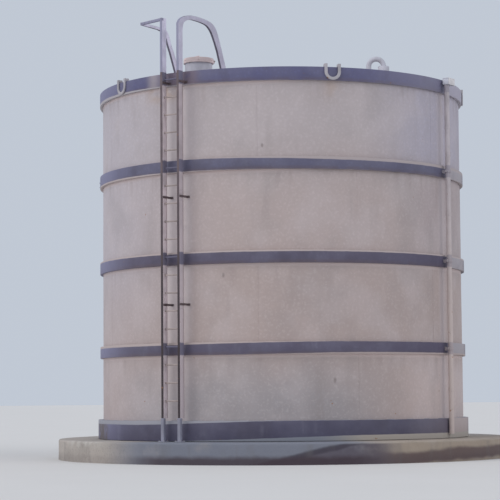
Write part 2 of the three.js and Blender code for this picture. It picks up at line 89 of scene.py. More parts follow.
RIGHT_RAIL_OUTER = (
    (0, -0.11), (0.06, -0.03), (0.19, 0.04), (0.4, 0.092), (0.64, 0.103),
    (0.9, 0.093), (1.11, 0.062), (1.24, -0.005), (1.33, -0.13), (1.441, -0.359),
)
RIGHT_RAIL_INNER = (
    (0.14, -0.24), (0.185, -0.08), (0.39, 0.01), (0.62, 0.02), (0.83, 0.01),
    (0.985, -0.02), (1.11, -0.105), (1.235, -0.28), (1.336, -0.461),
)
RIGHT_FEET = ((1.732, -1.04), (1.567, -1.04))
LEFT_RAIL_OUTER = (
    (0, -0.012), (0.6, -0.014), (0.76, -0.025), (0.86, -0.11), (0.96, -0.3), (1.085, -0.518))
LEFT_RAIL_INNER = (
    (0, -0.062), (0.54, -0.066), (0.69, -0.095), (0.79, -0.18), (0.86, -0.32), (0.945, -0.477))
LEFT_FEET = ((1.345, -1.04), (1.213, -1.04))
LEFT_RAIL_RISE = 0.03
LEFT_RAIL_REACH = 0.461
LEFT_RAIL_BAR = 0.05
HATCH = (-48.8, 2.18)
HATCH_RADIUS = 0.27
HATCH_WALL = 0.008
HATCH_TOP = 7.905
HATCH_LID_RADIUS = 0.3
HATCH_SKIRT = 0.09
VENT = (45.3, 2.8)
VENT_NECK_RADIUS = 0.11
VENT_NECK_TOP = 7.64
VENT_TUBE = 0.05
VENT_BORE = 0.045
VENT_BEND = 0.145
VENT_MOUTH = 0.07
LUG_AZIMUTHS = tuple(14.4 + 72 * i for i in range(5))
LUG_RADIUS = 0.13
LUG_BAR = 0.058
LUG_THICKNESS = 0.03
LUG_LOW = CURB_TOP - CURB_HEIGHT + 0.004
LUG_TOP = CURB_TOP + 0.06
LUG_HOOK = 0.07
PIPE_AZIMUTH = 57.7
PIPE_CENTRE = 3.8
PIPE_RADIUS = 0.05
PIPE_BORE = 0.045
PIPE_FOOT = 0.49
PIPE_SOCKETS = (1.3, 3.0, 4.7, 6.4)
SOCKET_LENGTH = 0.06
HOPPER_LEFT, HOPPER_RIGHT = -0.054, 0.215
HOPPER_BACK, HOPPER_FRONT = -3.7403, -3.8703
HOPPER_BASE, HOPPER_TOP = 7.2685, 7.3985
NOZZLE_RADIUS = 0.04
NOZZLE_OFFSET = 0.08
NOZZLE_HEIGHT = HOPPER_BASE + 0.05
CLIP_HEIGHT = 0.05

# Lower and upper edge of the bands above the base band
UPPER_BANDS = {
    name: (centre - HOOP_HEIGHT / 2, centre + HOOP_HEIGHT / 2) for name, centre in HOOP_CENTRES.items()}
UPPER_BANDS["top_curb"] = (CURB_TOP - CURB_HEIGHT, CURB_TOP)

# Width and height of the weld beads
PLATE_WELD = (0.014, 0.0035)
COURSE_WELD = (0.014, 0.003)
BAND_WELD = (0.012, 0.004)
ROOF_SEAM = (0.03, 0.006)
ROOF_LAP = (0.024, 0.005)

# Edges between faces that meet at a wider angle than this, in degrees, are drawn sharp
SHARP_ANGLE = 32


# Geometry helpers
def polar(radius, azimuth, height=0.0):
    angle = radians(azimuth)
    return Vector((radius * sin(angle), -radius * cos(angle), height))


def turned(azimuth):
    """From the frame of an azimuth, +X to the right and +Y inwards, to the row frame."""
    return Matrix.Rotation(radians(azimuth), 4, "Z")


def around(azimuth):
    """Distance round the wall from azimuth 0 to this one, to the right."""
    return radians(azimuth) * TANK_RADIUS


def roof_at(radius):
    """Height of the roof's face."""
    return ROOF_EDGE + ROOF_RISE * (1 - radius / TANK_RADIUS)


def circle(sides):
    """Cosine and sine of each step round a circle."""
    turns = [2 * pi * k / sides for k in range(sides)]
    return [(cos(turn), sin(turn)) for turn in turns]


def directions(path):
    """Unit direction of a path at each of its points."""
    last = len(path) - 1
    return [(path[min(i + 1, last)] - path[max(i - 1, 0)]).normalized() for i in range(last + 1)]


def rounded(points, radius, steps=2):
    """Closed outline with its corners rounded. A point is (u, v), or (u, v, tag)."""
    result = []
    for i, (u, v, *tag) in enumerate(points):
        corner = Vector((u, v))
        before = Vector(points[i - 1][:2]) - corner
        after = Vector(points[(i + 1) % len(points)][:2]) - corner
        reach = min(radius, 0.45 * before.length, 0.45 * after.length)
        start = corner + before.normalized() * reach
        end = corner + after.normalized() * reach
        for k in range(steps + 1):
            t = k / steps
            point = start * (1 - t) ** 2 + corner * 2 * t * (1 - t) + end * t ** 2
            result.append((point.x, point.y, *tag))
    return result


def rectangle(u0, u1, v0, v1, radius, steps=2):
    return rounded([(u0, v0), (u1, v0), (u1, v1), (u0, v1)], radius, steps)


def smooth_line(points, count):
    """Smooth line through 2-D points, evenly spaced."""
    points = [Vector(p) for p in points]
    lengths = [0.0]
    for a, b in zip(points, points[1:]):
        lengths.append(lengths[-1] + (b - a).length)
    last = len(points) - 1
    slopes = []
    for i in range(last + 1):
        low, high = max(i - 1, 0), min(i + 1, last)
        slopes.append((points[high] - points[low]) / (lengths[high] - lengths[low]))
    line = []
    k = 0
    for i in range(count + 1):
        s = lengths[-1] * i / count
        while k < last - 1 and s > lengths[k + 1]:
            k += 1
        span = lengths[k + 1] - lengths[k]
        t = (s - lengths[k]) / span
        chord = points[k] + (points[k + 1] - points[k]) * t * t * (3 - 2 * t)
        leave, arrive = slopes[k] * t * (1 - t) ** 2, slopes[k + 1] * t * t * (1 - t)
        line.append(chord + (leave - arrive) * span)
    return line


def placed(name, data):
    """New object in the scene."""
    made = bpy.data.objects.new(name, data)
    bpy.context.scene.collection.objects.link(made)
    return made


class Piece:
    """A mesh in the making, drawn in the row frame, or in base if one is given."""

    def __init__(self, name, slot, nodes, *materials, base=None):
        self.name = name
        self.slot = slot
        self.nodes = nodes
        self.materials = materials
        self.base = base or Matrix.Identity(4)
        self.mesh = bmesh.new()

    def loft(self, rings, tag=0, sides=None, closed=False):
        """Skin over rings of points, in material tag, or in the materials of its sides."""
        made = [[self.mesh.verts.new(self.base @ Vector(p)) for p in ring] for ring in rings]
        pairs = list(zip(made, made[1:]))
        if closed:
            pairs.append((made[-1], made[0]))
        for low, high in pairs:
            for j in range(len(low)):
                k = (j + 1) % len(low)
                face = self.mesh.faces.new((low[j], low[k], high[k], high[j]))
                face.material_index = sides[j] if sides else tag
        if not closed:
            for ring in (made[0][::-1], made[-1]):
                self.mesh.faces.new(ring).material_index = tag

    def lathe(self, profile, segments, centre=Vector(), wobble=None):
        """Turned solid over a closed profile of (radius, height)."""
        rings = []
        for i in range(segments):
            azimuth = 360 * i / segments
            points = [wobble(azimuth, *point) for point in profile] if wobble else profile
            offset = Vector((centre.x, centre.y, 0))
            rings.append([polar(radius, azimuth, height) + offset for radius, height in points])
        self.loft(rings, closed=True)

    def arc(self, profile, start, end, segments):
        """Part of a turned solid, from azimuth start to end."""
        azimuths = [start + (end - start) * i / segments for i in range(segments + 1)]
        self.loft([[polar(r, azimuth, h) for r, h in profile] for azimuth in azimuths])

    def bar(self, section, start, end, right, up, chamfer=0.0, tag=0):
        """Straight bar: section points lie along right and up, from start to end."""
        start, end, right, up = map(Vector, (start, end, right, up))
        along = (end - start).normalized()
        mid_u = sum(u for u, _ in section) / len(section)
        mid_v = sum(v for _, v in section) / len(section)
        stations = [(start, 1.0), (end, 1.0)]
        if chamfer:
            size = max(max(abs(u - mid_u), abs(v - mid_v)) for u, v in section)
            shrink = 1 - chamfer / size
            inset = along * chamfer
            stations = [(start, shrink), (start + inset, 1.0), (end - inset, 1.0), (end, shrink)]
        self.loft([
            [place + right * (mid_u + (u - mid_u) * scale) + up * (mid_v + (v - mid_v) * scale)
             for u, v in section]
            for place, scale in stations
        ], tag)

    def block(self, low, high, bevel=0.002, tag=0):
        """Box with rounded upright edges and chamfered ends."""
        section = rectangle(low[0], high[0], low[1], high[1], bevel)
        self.bar(section, (0, 0, low[2]), (0, 0, high[2]), (1, 0, 0), (0, 1, 0), bevel, tag)

    def rod(self, start, end, radius, sides=16, chamfer=0.0, tag=0):
        start, end = Vector(start), Vector(end)
        along = (end - start).normalized()
        side = along.orthogonal().normalized()
        section = [(radius * c, radius * s) for c, s in circle(sides)]
        self.bar(section, start, end, side, along.cross(side), chamfer, tag)

    def tube(self, path, radius, bore, sides=32):
        """Open-ended tube along a path, with its wall."""
        path = [Vector(p) for p in path]
        along_path = directions(path)
        side = along_path[0].orthogonal().normalized()
        outer, inner = [], []
        for place, along in zip(path, along_path):
            side = (side - along * side.dot(along)).normalized()
            up = along.cross(side)
            ring = [side * c + up * s for c, s in circle(sides)]
            outer.append([place + out * radius for out in ring])
            inner.append([place + out * bore for out in ring])
        self.loft(outer + inner[::-1], closed=True)

    def bolt(self, place, normal, size, tag=0):
        """Washer, hexagon head and the thread's end."""
        place, normal = Vector(place), Vector(normal).normalized()
        self.rod(place, place + normal * 0.12 * size, 0.95 * size, 16, 0.0, tag)
        self.rod(place, place + normal * 0.68 * size, 0.58 * size, 6, 0.08 * size, tag)
        self.rod(place, place + normal * 0.95 * size, 0.3 * size, 10, 0.06 * size, tag)

    def bead(self, path, width, rise, on_roof=False):
        """Weld bead along a path, a low uneven ridge that stands on the wall or the roof."""
        rings = []
        for place, along in zip(path, directions(path)):
            out = Vector((0, 0, 1)) if on_roof else Vector((place.x, place.y, 0)).normalized()
            side = out.cross(along).normalized()
            uneven = 1 + 0.3 * noise.noise(place * 9)
            half, top = 0.5 * width * uneven, rise * uneven
            slope = (0.7 * half, 0.6 * top)
            ridge = ((-half, -rise), (half, -rise), slope, (0, top), (-slope[0], slope[1]))
            rings.append([place + side * u + out * v for u, v in ridge])
        self.loft(rings)

    def done(self):
        bmesh.ops.recalc_face_normals(self.mesh, faces=self.mesh.faces)
        limit = radians(SHARP_ANGLE)
        for face in self.mesh.faces:
            face.smooth = True
        for edge in self.mesh.edges:
            edge.smooth = len(edge.link_faces) == 2 and edge.calc_face_angle(0) < limit
        data = bpy.data.meshes.new(self.name)
        self.mesh.to_mesh(data)
        self.mesh.free()
        for material in self.materials:
            data.materials.append(material)
        piece = placed(self.name, data)
        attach(piece, "root")
        if self.nodes:
            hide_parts(*self.nodes)
        return piece


# Materials
class Graph:
    """Node graph of one finish, placed by the object's own coordinates, in metres."""

    def __init__(self, name):
        self.material = bpy.data.materials.new(name)
        self.material.use_nodes = True
        self.tree = self.material.node_tree
        self.shader = next(n for n in self.tree.nodes if n.type == "BSDF_PRINCIPLED")
        self.place = self.node("ShaderNodeTexCoord", output="Object")
        self.x, self.y, self.z = self.node("ShaderNodeSeparateXYZ", [(0, self.place)]).node.outputs
        self.color = None

    def node(self, kind, inputs=(), output=0, **settings):
        """Output of a new node, whose inputs are pairs of socket and value."""
        made = self.tree.nodes.new(kind)
        for key, value in settings.items():
            setattr(made, key, value)
        for key, value in inputs:
            self.wire(made.inputs[key], value)
        return made.outputs[output]

    def wire(self, socket, value):
        if isinstance(value, bpy.types.NodeSocket):
            self.tree.links.new(value, socket)
        elif isinstance(value, tuple) and len(value) == 3 and len(socket.default_value) == 4:
            socket.default_value = (*value, 1)
        else:
            socket.default_value = value

    def calc(self, operation, *values):
        return self.node("ShaderNodeMath", enumerate(values), operation=operation)

    def add(self, value, other, factor=1.0):
        """value + other * factor"""
        return self.calc("MULTIPLY_ADD", other, factor, value)

    def both(self, *masks):
        result = masks[0]
        for mask in masks[1:]:
            result = self.calc("MULTIPLY", result, mask)
        return result

    def ramp(self, value, low, high, top=1.0):
        """Smooth step of value from 0 at low to top at high."""
        inputs = (("Value", value), ("From Min", low), ("From Max", high), ("To Max", top))
        return self.node("ShaderNodeMapRange", inputs, interpolation_type="SMOOTHSTEP")

    def window(self, value, low, high, soft):
        start = self.ramp(value, low - soft, low + soft)
        return self.both(start, self.ramp(value, high + soft, high - soft))

    def noise(self, scale, detail, vector=None, roughness=0.5):
        values = (vector or self.place, scale, detail, roughness)
        return self.node("ShaderNodeTexNoise", zip(("Vector", "Scale", "Detail", "Roughness"), values))

    def patches(self, scale, detail, low, high, top=1.0):
        """Soft patches where the noise is over low, full at high."""
        return self.ramp(self.noise(scale, detail), low, high, top)

    def cells(self, scale):
        return self.node("ShaderNodeTexVoronoi", (("Vector", self.place), ("Scale", scale)), "Distance")

    def arc(self, radius=TANK_RADIUS):
        """Distance round the tank from azimuth 0, to the right."""
        return self.both(self.calc("ARCTAN2", self.x, self.both(self.y, -1)), radius)

    def streaks(self, arc, across, down, detail=3):
        """Uneven lines that run down the surface."""
        parts = (self.both(arc, across), 0.0, self.both(self.z, down))
        return self.noise(1.0, detail, self.node("ShaderNodeCombineXYZ", enumerate(parts)))

    def mix(self, factor, first, second):
        return self.node("ShaderNodeMix", ((0, factor), (6, first), (7, second)), 2, data_type="RGBA")

    def coat(self, color, *masks):
        """Lays a colour over what is there, where all the masks are set."""
        self.color = self.mix(self.both(*masks), self.color, color)

    def rust(self, tint=1.0):
        return self.mix(self.noise(14, 4), times((0.16, 0.07, 0.035), tint), times((0.42, 0.2, 0.08), tint))

    def finish(self, roughness, height=None, strength=0.0, distance=0.0, metallic=0.0):
        self.wire(self.shader.inputs["Base Color"], self.color)
        self.wire(self.shader.inputs["Roughness"], roughness)
        self.shader.inputs["Metallic"].default_value = metallic
        if height is not None:
            bump = (("Strength", strength), ("Distance", distance), ("Height", height))
            self.wire(self.shader.inputs["Normal"], self.node("ShaderNodeBump", bump))
        return self.material


def times(color, factor):
    return tuple(c * factor for c in color)


WALL_UPPER = (0.478, 0.421, 0.426)
WALL_MIDDLE = (0.478, 0.392, 0.375)
WALL_LOWER = (0.45, 0.36, 0.336)
WALL_FOOT = (0.352, 0.322, 0.33)
BAND_UPPER = (0.11, 0.109, 0.22)
BAND_MIDDLE = (0.122, 0.118, 0.19)
BAND_LOWER = (0.103, 0.089, 0.14)
BAND_BASE = (0.081, 0.075, 0.125)
CONCRETE = (0.395, 0.352, 0.318)

# Distances round the wall between which a finish of the front fades out towards the back
BACK_LEFT = (-11, -7)
BACK_RIGHT = (9, 6)

# Where the dark stripe stops short of a band's edge: the edge's height, the way from it into the
# band, the distances round the wall where that starts and is full, its height there, and the
# paint that shows instead, or None for cement
STRIPE_LIMITS = (
    (UPPER_BANDS["top_curb"][0], 1, -0.8, -4.9, 0.05, (0.42, 0.39, 0.41)),
    (UPPER_BANDS["upper_hoop"][0], 1, 0.2, -4, 0.03, (0.46, 0.39, 0.38)),
    (UPPER_BANDS["lower_hoop"][0], 1, -1.2, 1.8, 0.034, (0.43, 0.35, 0.33)),
    (PLINTH_HEIGHT, 1, -3.2, 2.0, 0.11, None),
    (UPPER_BANDS["upper_hoop"][1], -1, -2.2, 1.2, 0.055, (0.41, 0.35, 0.35)),
    (UPPER_BANDS["middle_hoop"][1], -1, -8, -7, 0.026, (0.46, 0.385, 0.37)),
    (UPPER_BANDS["lower_hoop"][1], -1, 1.4, -3.2, 0.045, (0.45, 0.375, 0.36)),
    (BASE_BAND_TOP, -1, 0.3, -3.4, 0.075, (0.31, 0.31, 0.35)),
)


def wall_base(g, arc, wall_only):
    """Fading from the top down, cooler to the left, darker and then lilac to the right."""
    level = g.add(g.z, g.noise(0.6, 4), 1.2)
    g.color = g.mix(g.ramp(level, 7.0, 5.2), WALL_UPPER, WALL_MIDDLE)
    g.coat(WALL_LOWER, g.ramp(level, 5.2, 3.6))
    g.coat(WALL_FOOT, g.ramp(level, 3.0, 1.7), g.window(arc, -3.4, 1.7, 0.9))
    higher = g.add(0.3, g.ramp(g.z, 2.0, 4.2, 0.7))
    g.coat((0.5, 0.472, 0.53), g.ramp(arc, -0.8, -4.4, 0.65), g.ramp(arc, *BACK_LEFT), higher)
    g.coat(times(WALL_MIDDLE, 1.3), g.ramp(g.z, 2.4, 1.4, 0.7), g.window(arc, 2.6, 6, 0.5))
    seen = g.ramp(arc, *BACK_RIGHT)
    g.coat((0.41, 0.345, 0.352), g.ramp(arc, 2.2, 3.3), seen, g.window(g.z, 3.9, 5.6, 0.5), 0.75)
    g.coat((0.42, 0.4, 0.495), g.ramp(arc, 1.3, 3.3), seen, wall_only, g.ramp(g.z, 5.3, 5.9, 0.75))
    g.coat(times(WALL_UPPER, 1.25), g.patches(1.3, 4, 0.42, 0.7, 0.3))
    g.coat(times(WALL_FOOT, 0.7), g.patches(0.9, 4, 0.48, 0.7, 0.22))
    g.coat(times(WALL_LOWER, 0.7), g.ramp(g.cells(13), 0.1, 0.55, 0.14))
    g.coat(times(WALL_UPPER, 1.35), g.patches(23, 3, 0.5, 0.72, 0.2))
    grimy = g.ramp(g.streaks(arc, 2.6, 0.3), 0.45, 0.75)
    g.coat((0.27, 0.23, 0.22), grimy, g.patches(0.8, 2, 0.4, 0.6, 0.3))


def wall_wear(g, arc, wall_only):
    # Runs of dirt below each band, and close under it a lighter strip of painted light that cancels the
    # shade the band casts on the wall
    runs = g.both(g.ramp(g.streaks(arc, 5.5, 0.4, 4), 0.42, 0.75), g.patches(1.1, 3, 0.35, 0.65))
    leftward = g.calc("MAXIMUM", g.ramp(arc, 0.9, -0.4), g.ramp(g.z, 4.9, 4.6))
    for edge, _ in UPPER_BANDS.values():
        below = g.add(edge, g.z, -1)
        on = g.ramp(g.z, edge + 0.012, edge - 0.002)
        g.coat((0.24, 0.18, 0.165), g.ramp(below, 0.6, 0.0, 0.4), on, runs)
        # Painted light: the lighter strip just under the band
        g.coat(times(WALL_MIDDLE, 1.6), g.ramp(below, 0.085, 0.0, 0.8), on, leftward)

    # Painted light: lighter paint on the wall behind the ladder and the pipe, which cancels the shade they
    # cast on it
    fading = g.add(0.5, g.ramp(g.z, 1.0, 3.2, 0.5))
    ladder, pipe = around(LADDER_AZIMUTH), around(PIPE_AZIMUTH)
    shade_lift = times(WALL_UPPER, 1.45)
    g.coat(shade_lift, g.window(arc, ladder - 0.36, ladder + 0.24, 0.11), wall_only, fading, 0.55)
    g.coat(shade_lift, g.window(arc, pipe - 0.1, pipe + 0.12, 0.1), wall_only, 0.5)

    # Rust that has run from the ladder's top bracket, the front lug and the pipe's head
    blotch = g.patches(3.2, 5, 0.36, 0.62)
    for azimuth, half, low, most in ((-38.5, 6, 6.75, 0.7), (14.4, 2.2, 6.6, 0.3), (60, 1.6, 6.5, 0.3)):
        across = g.window(arc, around(azimuth - half), around(azimuth + half), 0.16)
        g.coat((0.46, 0.3, 0.19), across, g.ramp(g.z, low, 7.1, most), blotch, wall_only)

    # Dark specks, by distance round the wall, height and size
    for place, height, size in ((-0.41, 5.9, 0.036), (-1.17, 3.49, 0.04), (0.92, 1.52, 0.045)):
        sideways = g.add(arc, -place)
        upward = g.both(g.add(g.z, -height), 0.6)
        apart = g.calc("SQRT", g.add(g.both(sideways, sideways), g.both(upward, upward)))
        g.coat((0.18, 0.15, 0.14), g.ramp(apart, size, size * 0.2, 0.6))
    g.coat(g.rust(), g.ramp(g.noise(5.5, 5, roughness=0.6), 0.715, 0.75))


def wall_paint():
    g = Graph("shell_paint")
    arc = g.arc()
    wall_only = g.ramp(g.z, WALL_TOP + 0.004, WALL_TOP)
    wall_base(g, arc, wall_only)
    wall_wear(g, arc, wall_only)
    dents = g.add(g.noise(1.1, 2), g.noise(60, 2), 0.05)
    return g.finish(g.add(0.58, g.noise(6, 3), 0.2), dents, 0.35, 0.01)


def band_base(g, arc):
    g.color = g.mix(g.ramp(g.z, 7.0, 5.6), BAND_UPPER, BAND_MIDDLE)
    g.coat(BAND_LOWER, g.ramp(g.z, 5.3, 4.0))
    g.coat(BAND_BASE, g.ramp(g.z, 1.6, 0.9))
    g.coat((0.2, 0.195, 0.27), g.patches(1.7, 4, 0.42, 0.72, 0.3))
    g.coat((0.06, 0.05, 0.075), g.patches(2.3, 4, 0.48, 0.7, 0.35))
    chalky = g.ramp(g.streaks(arc, 6, 0.8), 0.5, 0.78)
    g.coat((0.27, 0.27, 0.34), chalky, g.patches(2.6, 3, 0.4, 0.7, 0.25))
    g.coat(times(BAND_LOWER, 0.6), g.ramp(g.cells(15), 0.1, 0.5, 0.16))

    # Dull lower edge of each band, where dirt holds
    for low, _ in UPPER_BANDS.values():
        edge = g.window(g.z, low - 0.03, low + 0.05, 0.03)
        g.coat((0.13, 0.09, 0.09), edge, g.patches(4, 4, 0.2, 0.6, 0.4))

    # Paler towards the left, and towards the right at the top, darker below
    g.coat((0.225, 0.222, 0.345), g.ramp(arc, -3.0, -4.8, 0.75), g.ramp(arc, *BACK_LEFT))
    rightward = g.both(g.ramp(arc, 1.0, 3.4), g.ramp(arc, *BACK_RIGHT))
    g.coat((0.235, 0.22, 0.295), rightward, g.ramp(g.z, 6.4, 7.0, 0.6))
    g.coat((0.07, 0.055, 0.1), rightward, g.ramp(g.z, 6.7, 3.7, 0.5), g.ramp(g.z, 1.0, 1.6))


def band_wear(g, arc):
    # Paler paint past the overflow pipe, partly chalky paint and partly a painted highlight, and dust on
    # the base band before it
    past_pipe = g.ramp(arc, around(59.5), around(61.5))
    past = g.both(past_pipe, g.ramp(arc, around(88), around(74)))
    far = g.both(past_pipe, g.ramp(arc, around(112), around(90)))
    g.coat((0.42, 0.39, 0.46), far, g.ramp(g.z, 6.5, 7.1, 0.85))
    g.coat((0.41, 0.37, 0.385), past, g.ramp(g.z, 7.0, 6.6, 0.85), g.patches(2.2, 3, 0.0, 0.45))
    g.coat((0.18, 0.148, 0.175), g.ramp(arc, 2.0, 3.5), g.ramp(arc, 7, 6), g.ramp(g.z, 1.0, 0.9, 0.5))
    g.coat((0.48, 0.39, 0.37), past, g.ramp(g.z, 1.0, 0.9, 0.8))

    # Brown run from the ladder over the top band, kept light and carried on past the ladder's right side as
    # painted light against the ladder's shade on the band, a bare pale patch beside it, and dirt at the
    # base band's left end
    top = g.ramp(g.z, 6.9, 7.1)
    foot = g.ramp(g.z, 1.0, 0.85)
    for start, end, soft, level, patches, tint in (
        # Partly painted light: the run's light tint and its reach to the right offset the ladder's shade
        (-39.6, -26, 0.12, top, (5, 4, 0.25, 0.5, 0.75), (0.2, 0.15, 0.18)),
        (-43.8, -39.8, 0.13, top, (4, 3, 0.05, 0.5, 0.8), (0.35, 0.305, 0.33)),
        (-84, -68, 0.12, foot, (5, 4, 0.2, 0.55, 0.8), (0.12, 0.095, 0.08)),
    ):
        g.coat(tint, g.window(arc, around(start), around(end), soft), level, g.patches(*patches))

    # The dark stripe is painted by hand: the wall's paint or cement covers some edges of a band
    front = g.both(g.ramp(arc, *BACK_LEFT), g.ramp(arc, 11, 7))
    wavy = g.add(g.z, g.add(g.noise(5, 3), -0.5), 0.012)
    cement = g.mix(g.ramp(arc, 0.4, 1.6), (0.25, 0.262, 0.3), (0.42, 0.38, 0.34))
    for edge, inwards, start, full, most, paint in STRIPE_LIMITS:
        depth = g.both(g.add(wavy, -edge), inwards)
        covered = g.both(g.ramp(arc, start, full, most), front)
        near = g.ramp(g.z, edge - 0.05 * inwards, edge - 0.03 * inwards)
        g.coat(paint or cement, g.ramp(g.add(depth, covered, -1), 0.007, -0.007), near)
    g.coat(g.rust(0.8), g.ramp(g.noise(7, 6, roughness=0.65), 0.69, 0.73))


def band_paint():
    g = Graph("band_paint")
    arc = g.arc()
    band_base(g, arc)
    band_wear(g, arc)
    return g.finish(g.add(0.5, g.noise(8, 3), 0.25), g.noise(45, 3), 0.12, 0.002)


def concrete():
    g = Graph("concrete")
    arc = g.arc(PLINTH_RADIUS)
    side = g.ramp(g.z, PLINTH_HEIGHT - 0.01, PLINTH_HEIGHT - 0.05)
    right = g.both(g.ramp(arc, 1.2, 2.2), g.ramp(arc, *BACK_RIGHT))
    g.color = g.mix(g.patches(0.9, 5, 0.3, 0.7), times(CONCRETE, 0.85), times(CONCRETE, 1.15))
    g.coat((0.2, 0.19, 0.185), g.patches(26, 4, 0.45, 0.75, 0.35))
    g.coat((0.5, 0.47, 0.42), g.patches(38, 2, 0.6, 0.72, 0.3))

    # Bluish dark patches in front, warm dust to the right that also lies on the top, where it is painted
    # shade that dulls the lit rounded rim, and a painted shade line low along its side
    g.coat((0.15, 0.17, 0.224), g.window(arc, -3.4, 1.5, 0.6), g.patches(1.2, 4, 0.05, 0.4, 0.85))
    # Warm dust, a little weaker on the top, where it also darkens the lit rim as painted shade
    g.coat((0.335, 0.265, 0.2), right, g.add(0.7, side, 0.3), g.patches(2, 3, 0.1, 0.5, 0.8))
    # Painted shade: a dark line low along the side, to the right
    line = g.add(g.add(g.z, g.noise(1.6, 4), 0.16), g.ramp(arc, 2.9, 3.9, 0.05), -1)
    g.coat((0.08, 0.048, 0.055), right, g.window(line, 0.08, 0.3, 0.04), 0.8)

    # Painted shadow: a dark patch with a slanting edge on the side, and a darker stroke along that edge
    slant = g.add(g.add(arc, g.noise(3, 4), 0.3), g.z, -4.6)
    painted_shadow = g.both(g.ramp(slant, -0.66, -0.4), g.ramp(arc, 2.3, 1.6), side)
    g.coat((0.092, 0.076, 0.098), painted_shadow, g.patches(2.4, 4, 0.1, 0.45, 0.85))
    stroke = g.window(slant, -0.62, -0.15, 0.12)
    g.coat((0.045, 0.038, 0.055), stroke, g.window(arc, 0, 1.6, 0.3), side, 0.7)

    # Runs down the side, painted shade along its foot, and a paler patch high on its left end
    g.coat((0.15, 0.14, 0.14), g.ramp(g.streaks(arc, 4, 1.0, 4), 0.5, 0.75, 0.3), side)
    # Painted shade along the foot of the side, darkest in front
    uneven = g.add(g.z, g.noise(4, 3), 0.08)
    in_front = g.add(0.3, g.window(arc, -2.9, 1.6, 0.5))
    g.coat((0.05, 0.032, 0.042), g.ramp(uneven, 0.24, 0.12), in_front, 0.65)
    paler_left = g.both(g.window(arc, -5.3, -4.0, 0.4), g.ramp(g.z, 0.2, 0.4))
    g.coat((0.62, 0.6, 0.56), paler_left, g.patches(5, 3, 0.35, 0.65, 0.5))
    height = g.add(g.add(g.noise(18, 5), g.noise(2.2, 3), 1.6), g.ramp(g.cells(34), 0.22, 0.08), -1)
    return g.finish(g.add(0.82, g.noise(9, 2), 0.12), height, 0.45, 0.006)


def aged_paint(name, base, rust, dirt, roughness, scale=1.0, low=None, heel=None, front=None, banded=0.0):
    """Painted steel with faded patches, runs of dirt, and rust where the paint is gone.

    low is the colour towards the ground, heel the colour of the side that faces the wall, and
    front the colour of what stands out beyond the wall. banded is how much of the bands' dark
    paint has been carried over it where it passes them.
    """
    g = Graph(name)
    g.color = g.mix(g.patches(3.5 * scale, 4, 0.32, 0.68), times(base, 0.84), times(base, 1.12))
    reach = g.calc("SQRT", g.add(g.both(g.x, g.x), g.both(g.y, g.y)))
    if front:
        g.coat(front, g.ramp(reach, 3.7, 3.78))
    if low:
        g.coat(low, g.ramp(g.z, 6.6, 2.2, 0.95))
    stretched = g.node("ShaderNodeVectorMath", ((0, g.place), (1, (30, 30, 2.5))), operation="MULTIPLY")
    g.coat(dirt, g.ramp(g.noise(1.0, 3, stretched), 0.5, 0.8, 0.35))
    if heel:
        g.coat(heel, g.ramp(reach, 3.8, 3.785, 0.8))
    if banded:
        uneven = g.add(g.z, g.noise(12, 3), 0.03)
        for low_edge, high_edge in UPPER_BANDS.values():
            past = 0.035 if high_edge == CURB_TOP else 0.015
            on = g.window(uneven, low_edge + 0.015, high_edge + past, 0.012)
            g.coat((0.135, 0.128, 0.195), on, banded)
    bloom = g.ramp(g.noise(9 * scale, 6, roughness=0.62), 0.72 - 0.2 * rust, 0.8 - 0.2 * rust)
    g.coat(g.rust(), bloom)
    height = g.add(g.noise(70, 3), bloom, -0.6)
    return g.finish(g.add(roughness, g.noise(15, 3), 0.25), height, 0.25, 0.0015)


def bare_steel():
    g = Graph("zinc_bolts")
    g.color = g.mix(g.patches(30, 3, 0.35, 0.65), (0.3, 0.29, 0.29), (0.42, 0.41, 0.41))
    g.coat(g.rust(0.9), g.patches(22, 5, 0.52, 0.62, 0.8))
    return g.finish(g.add(0.4, g.noise(40, 2), 0.3), g.noise(120, 2), 0.2, 0.0008, 0.35)


def ground():
    g = Graph("studio_floor")
    g.color = g.mix(g.noise(0.4, 2), (0.66, 0.645, 0.63), (0.69, 0.675, 0.66))
    return g.finish(0.95)


wall_finish = wall_paint()
band_finish = band_paint()
concrete_finish = concrete()
rail_finish = aged_paint("rail_web", (0.55, 0.52, 0.635), 0.15, (0.38, 0.33, 0.4), 0.42)
# Painted light: the left rail's web takes a lighter copy of the rail's paint, against the shade it lies in
rail_left_lit_finish = aged_paint("rail_web_left_painted_light", (0.72, 0.68, 0.81), 0.15, (0.5, 0.44, 0.52), 0.42)
# Dark paint on the rail flanges, partly painted shade for the shaded side of the channel
rail_edge_finish = aged_paint(
    "rail_flange", (0.13, 0.12, 0.165), 0.3, (0.09, 0.07, 0.08), 0.5, front=(0.27, 0.265, 0.37))
ladder_finish = aged_paint(
    "stringer_web", (0.47, 0.4, 0.42), 0.25, (0.36, 0.28, 0.28), 0.45,
    low=(0.56, 0.48, 0.5), heel=(0.32, 0.26, 0.26), banded=0.9)
# Painted light: the left stringer's web takes a lighter copy of the web's paint, against the shade the
# right stringer casts on it
ladder_left_lit_finish = aged_paint(
    "stringer_web_left_painted_light", (0.78, 0.67, 0.69), 0.25, (0.55, 0.43, 0.43), 0.45,
    heel=(0.45, 0.36, 0.36), banded=0.9)
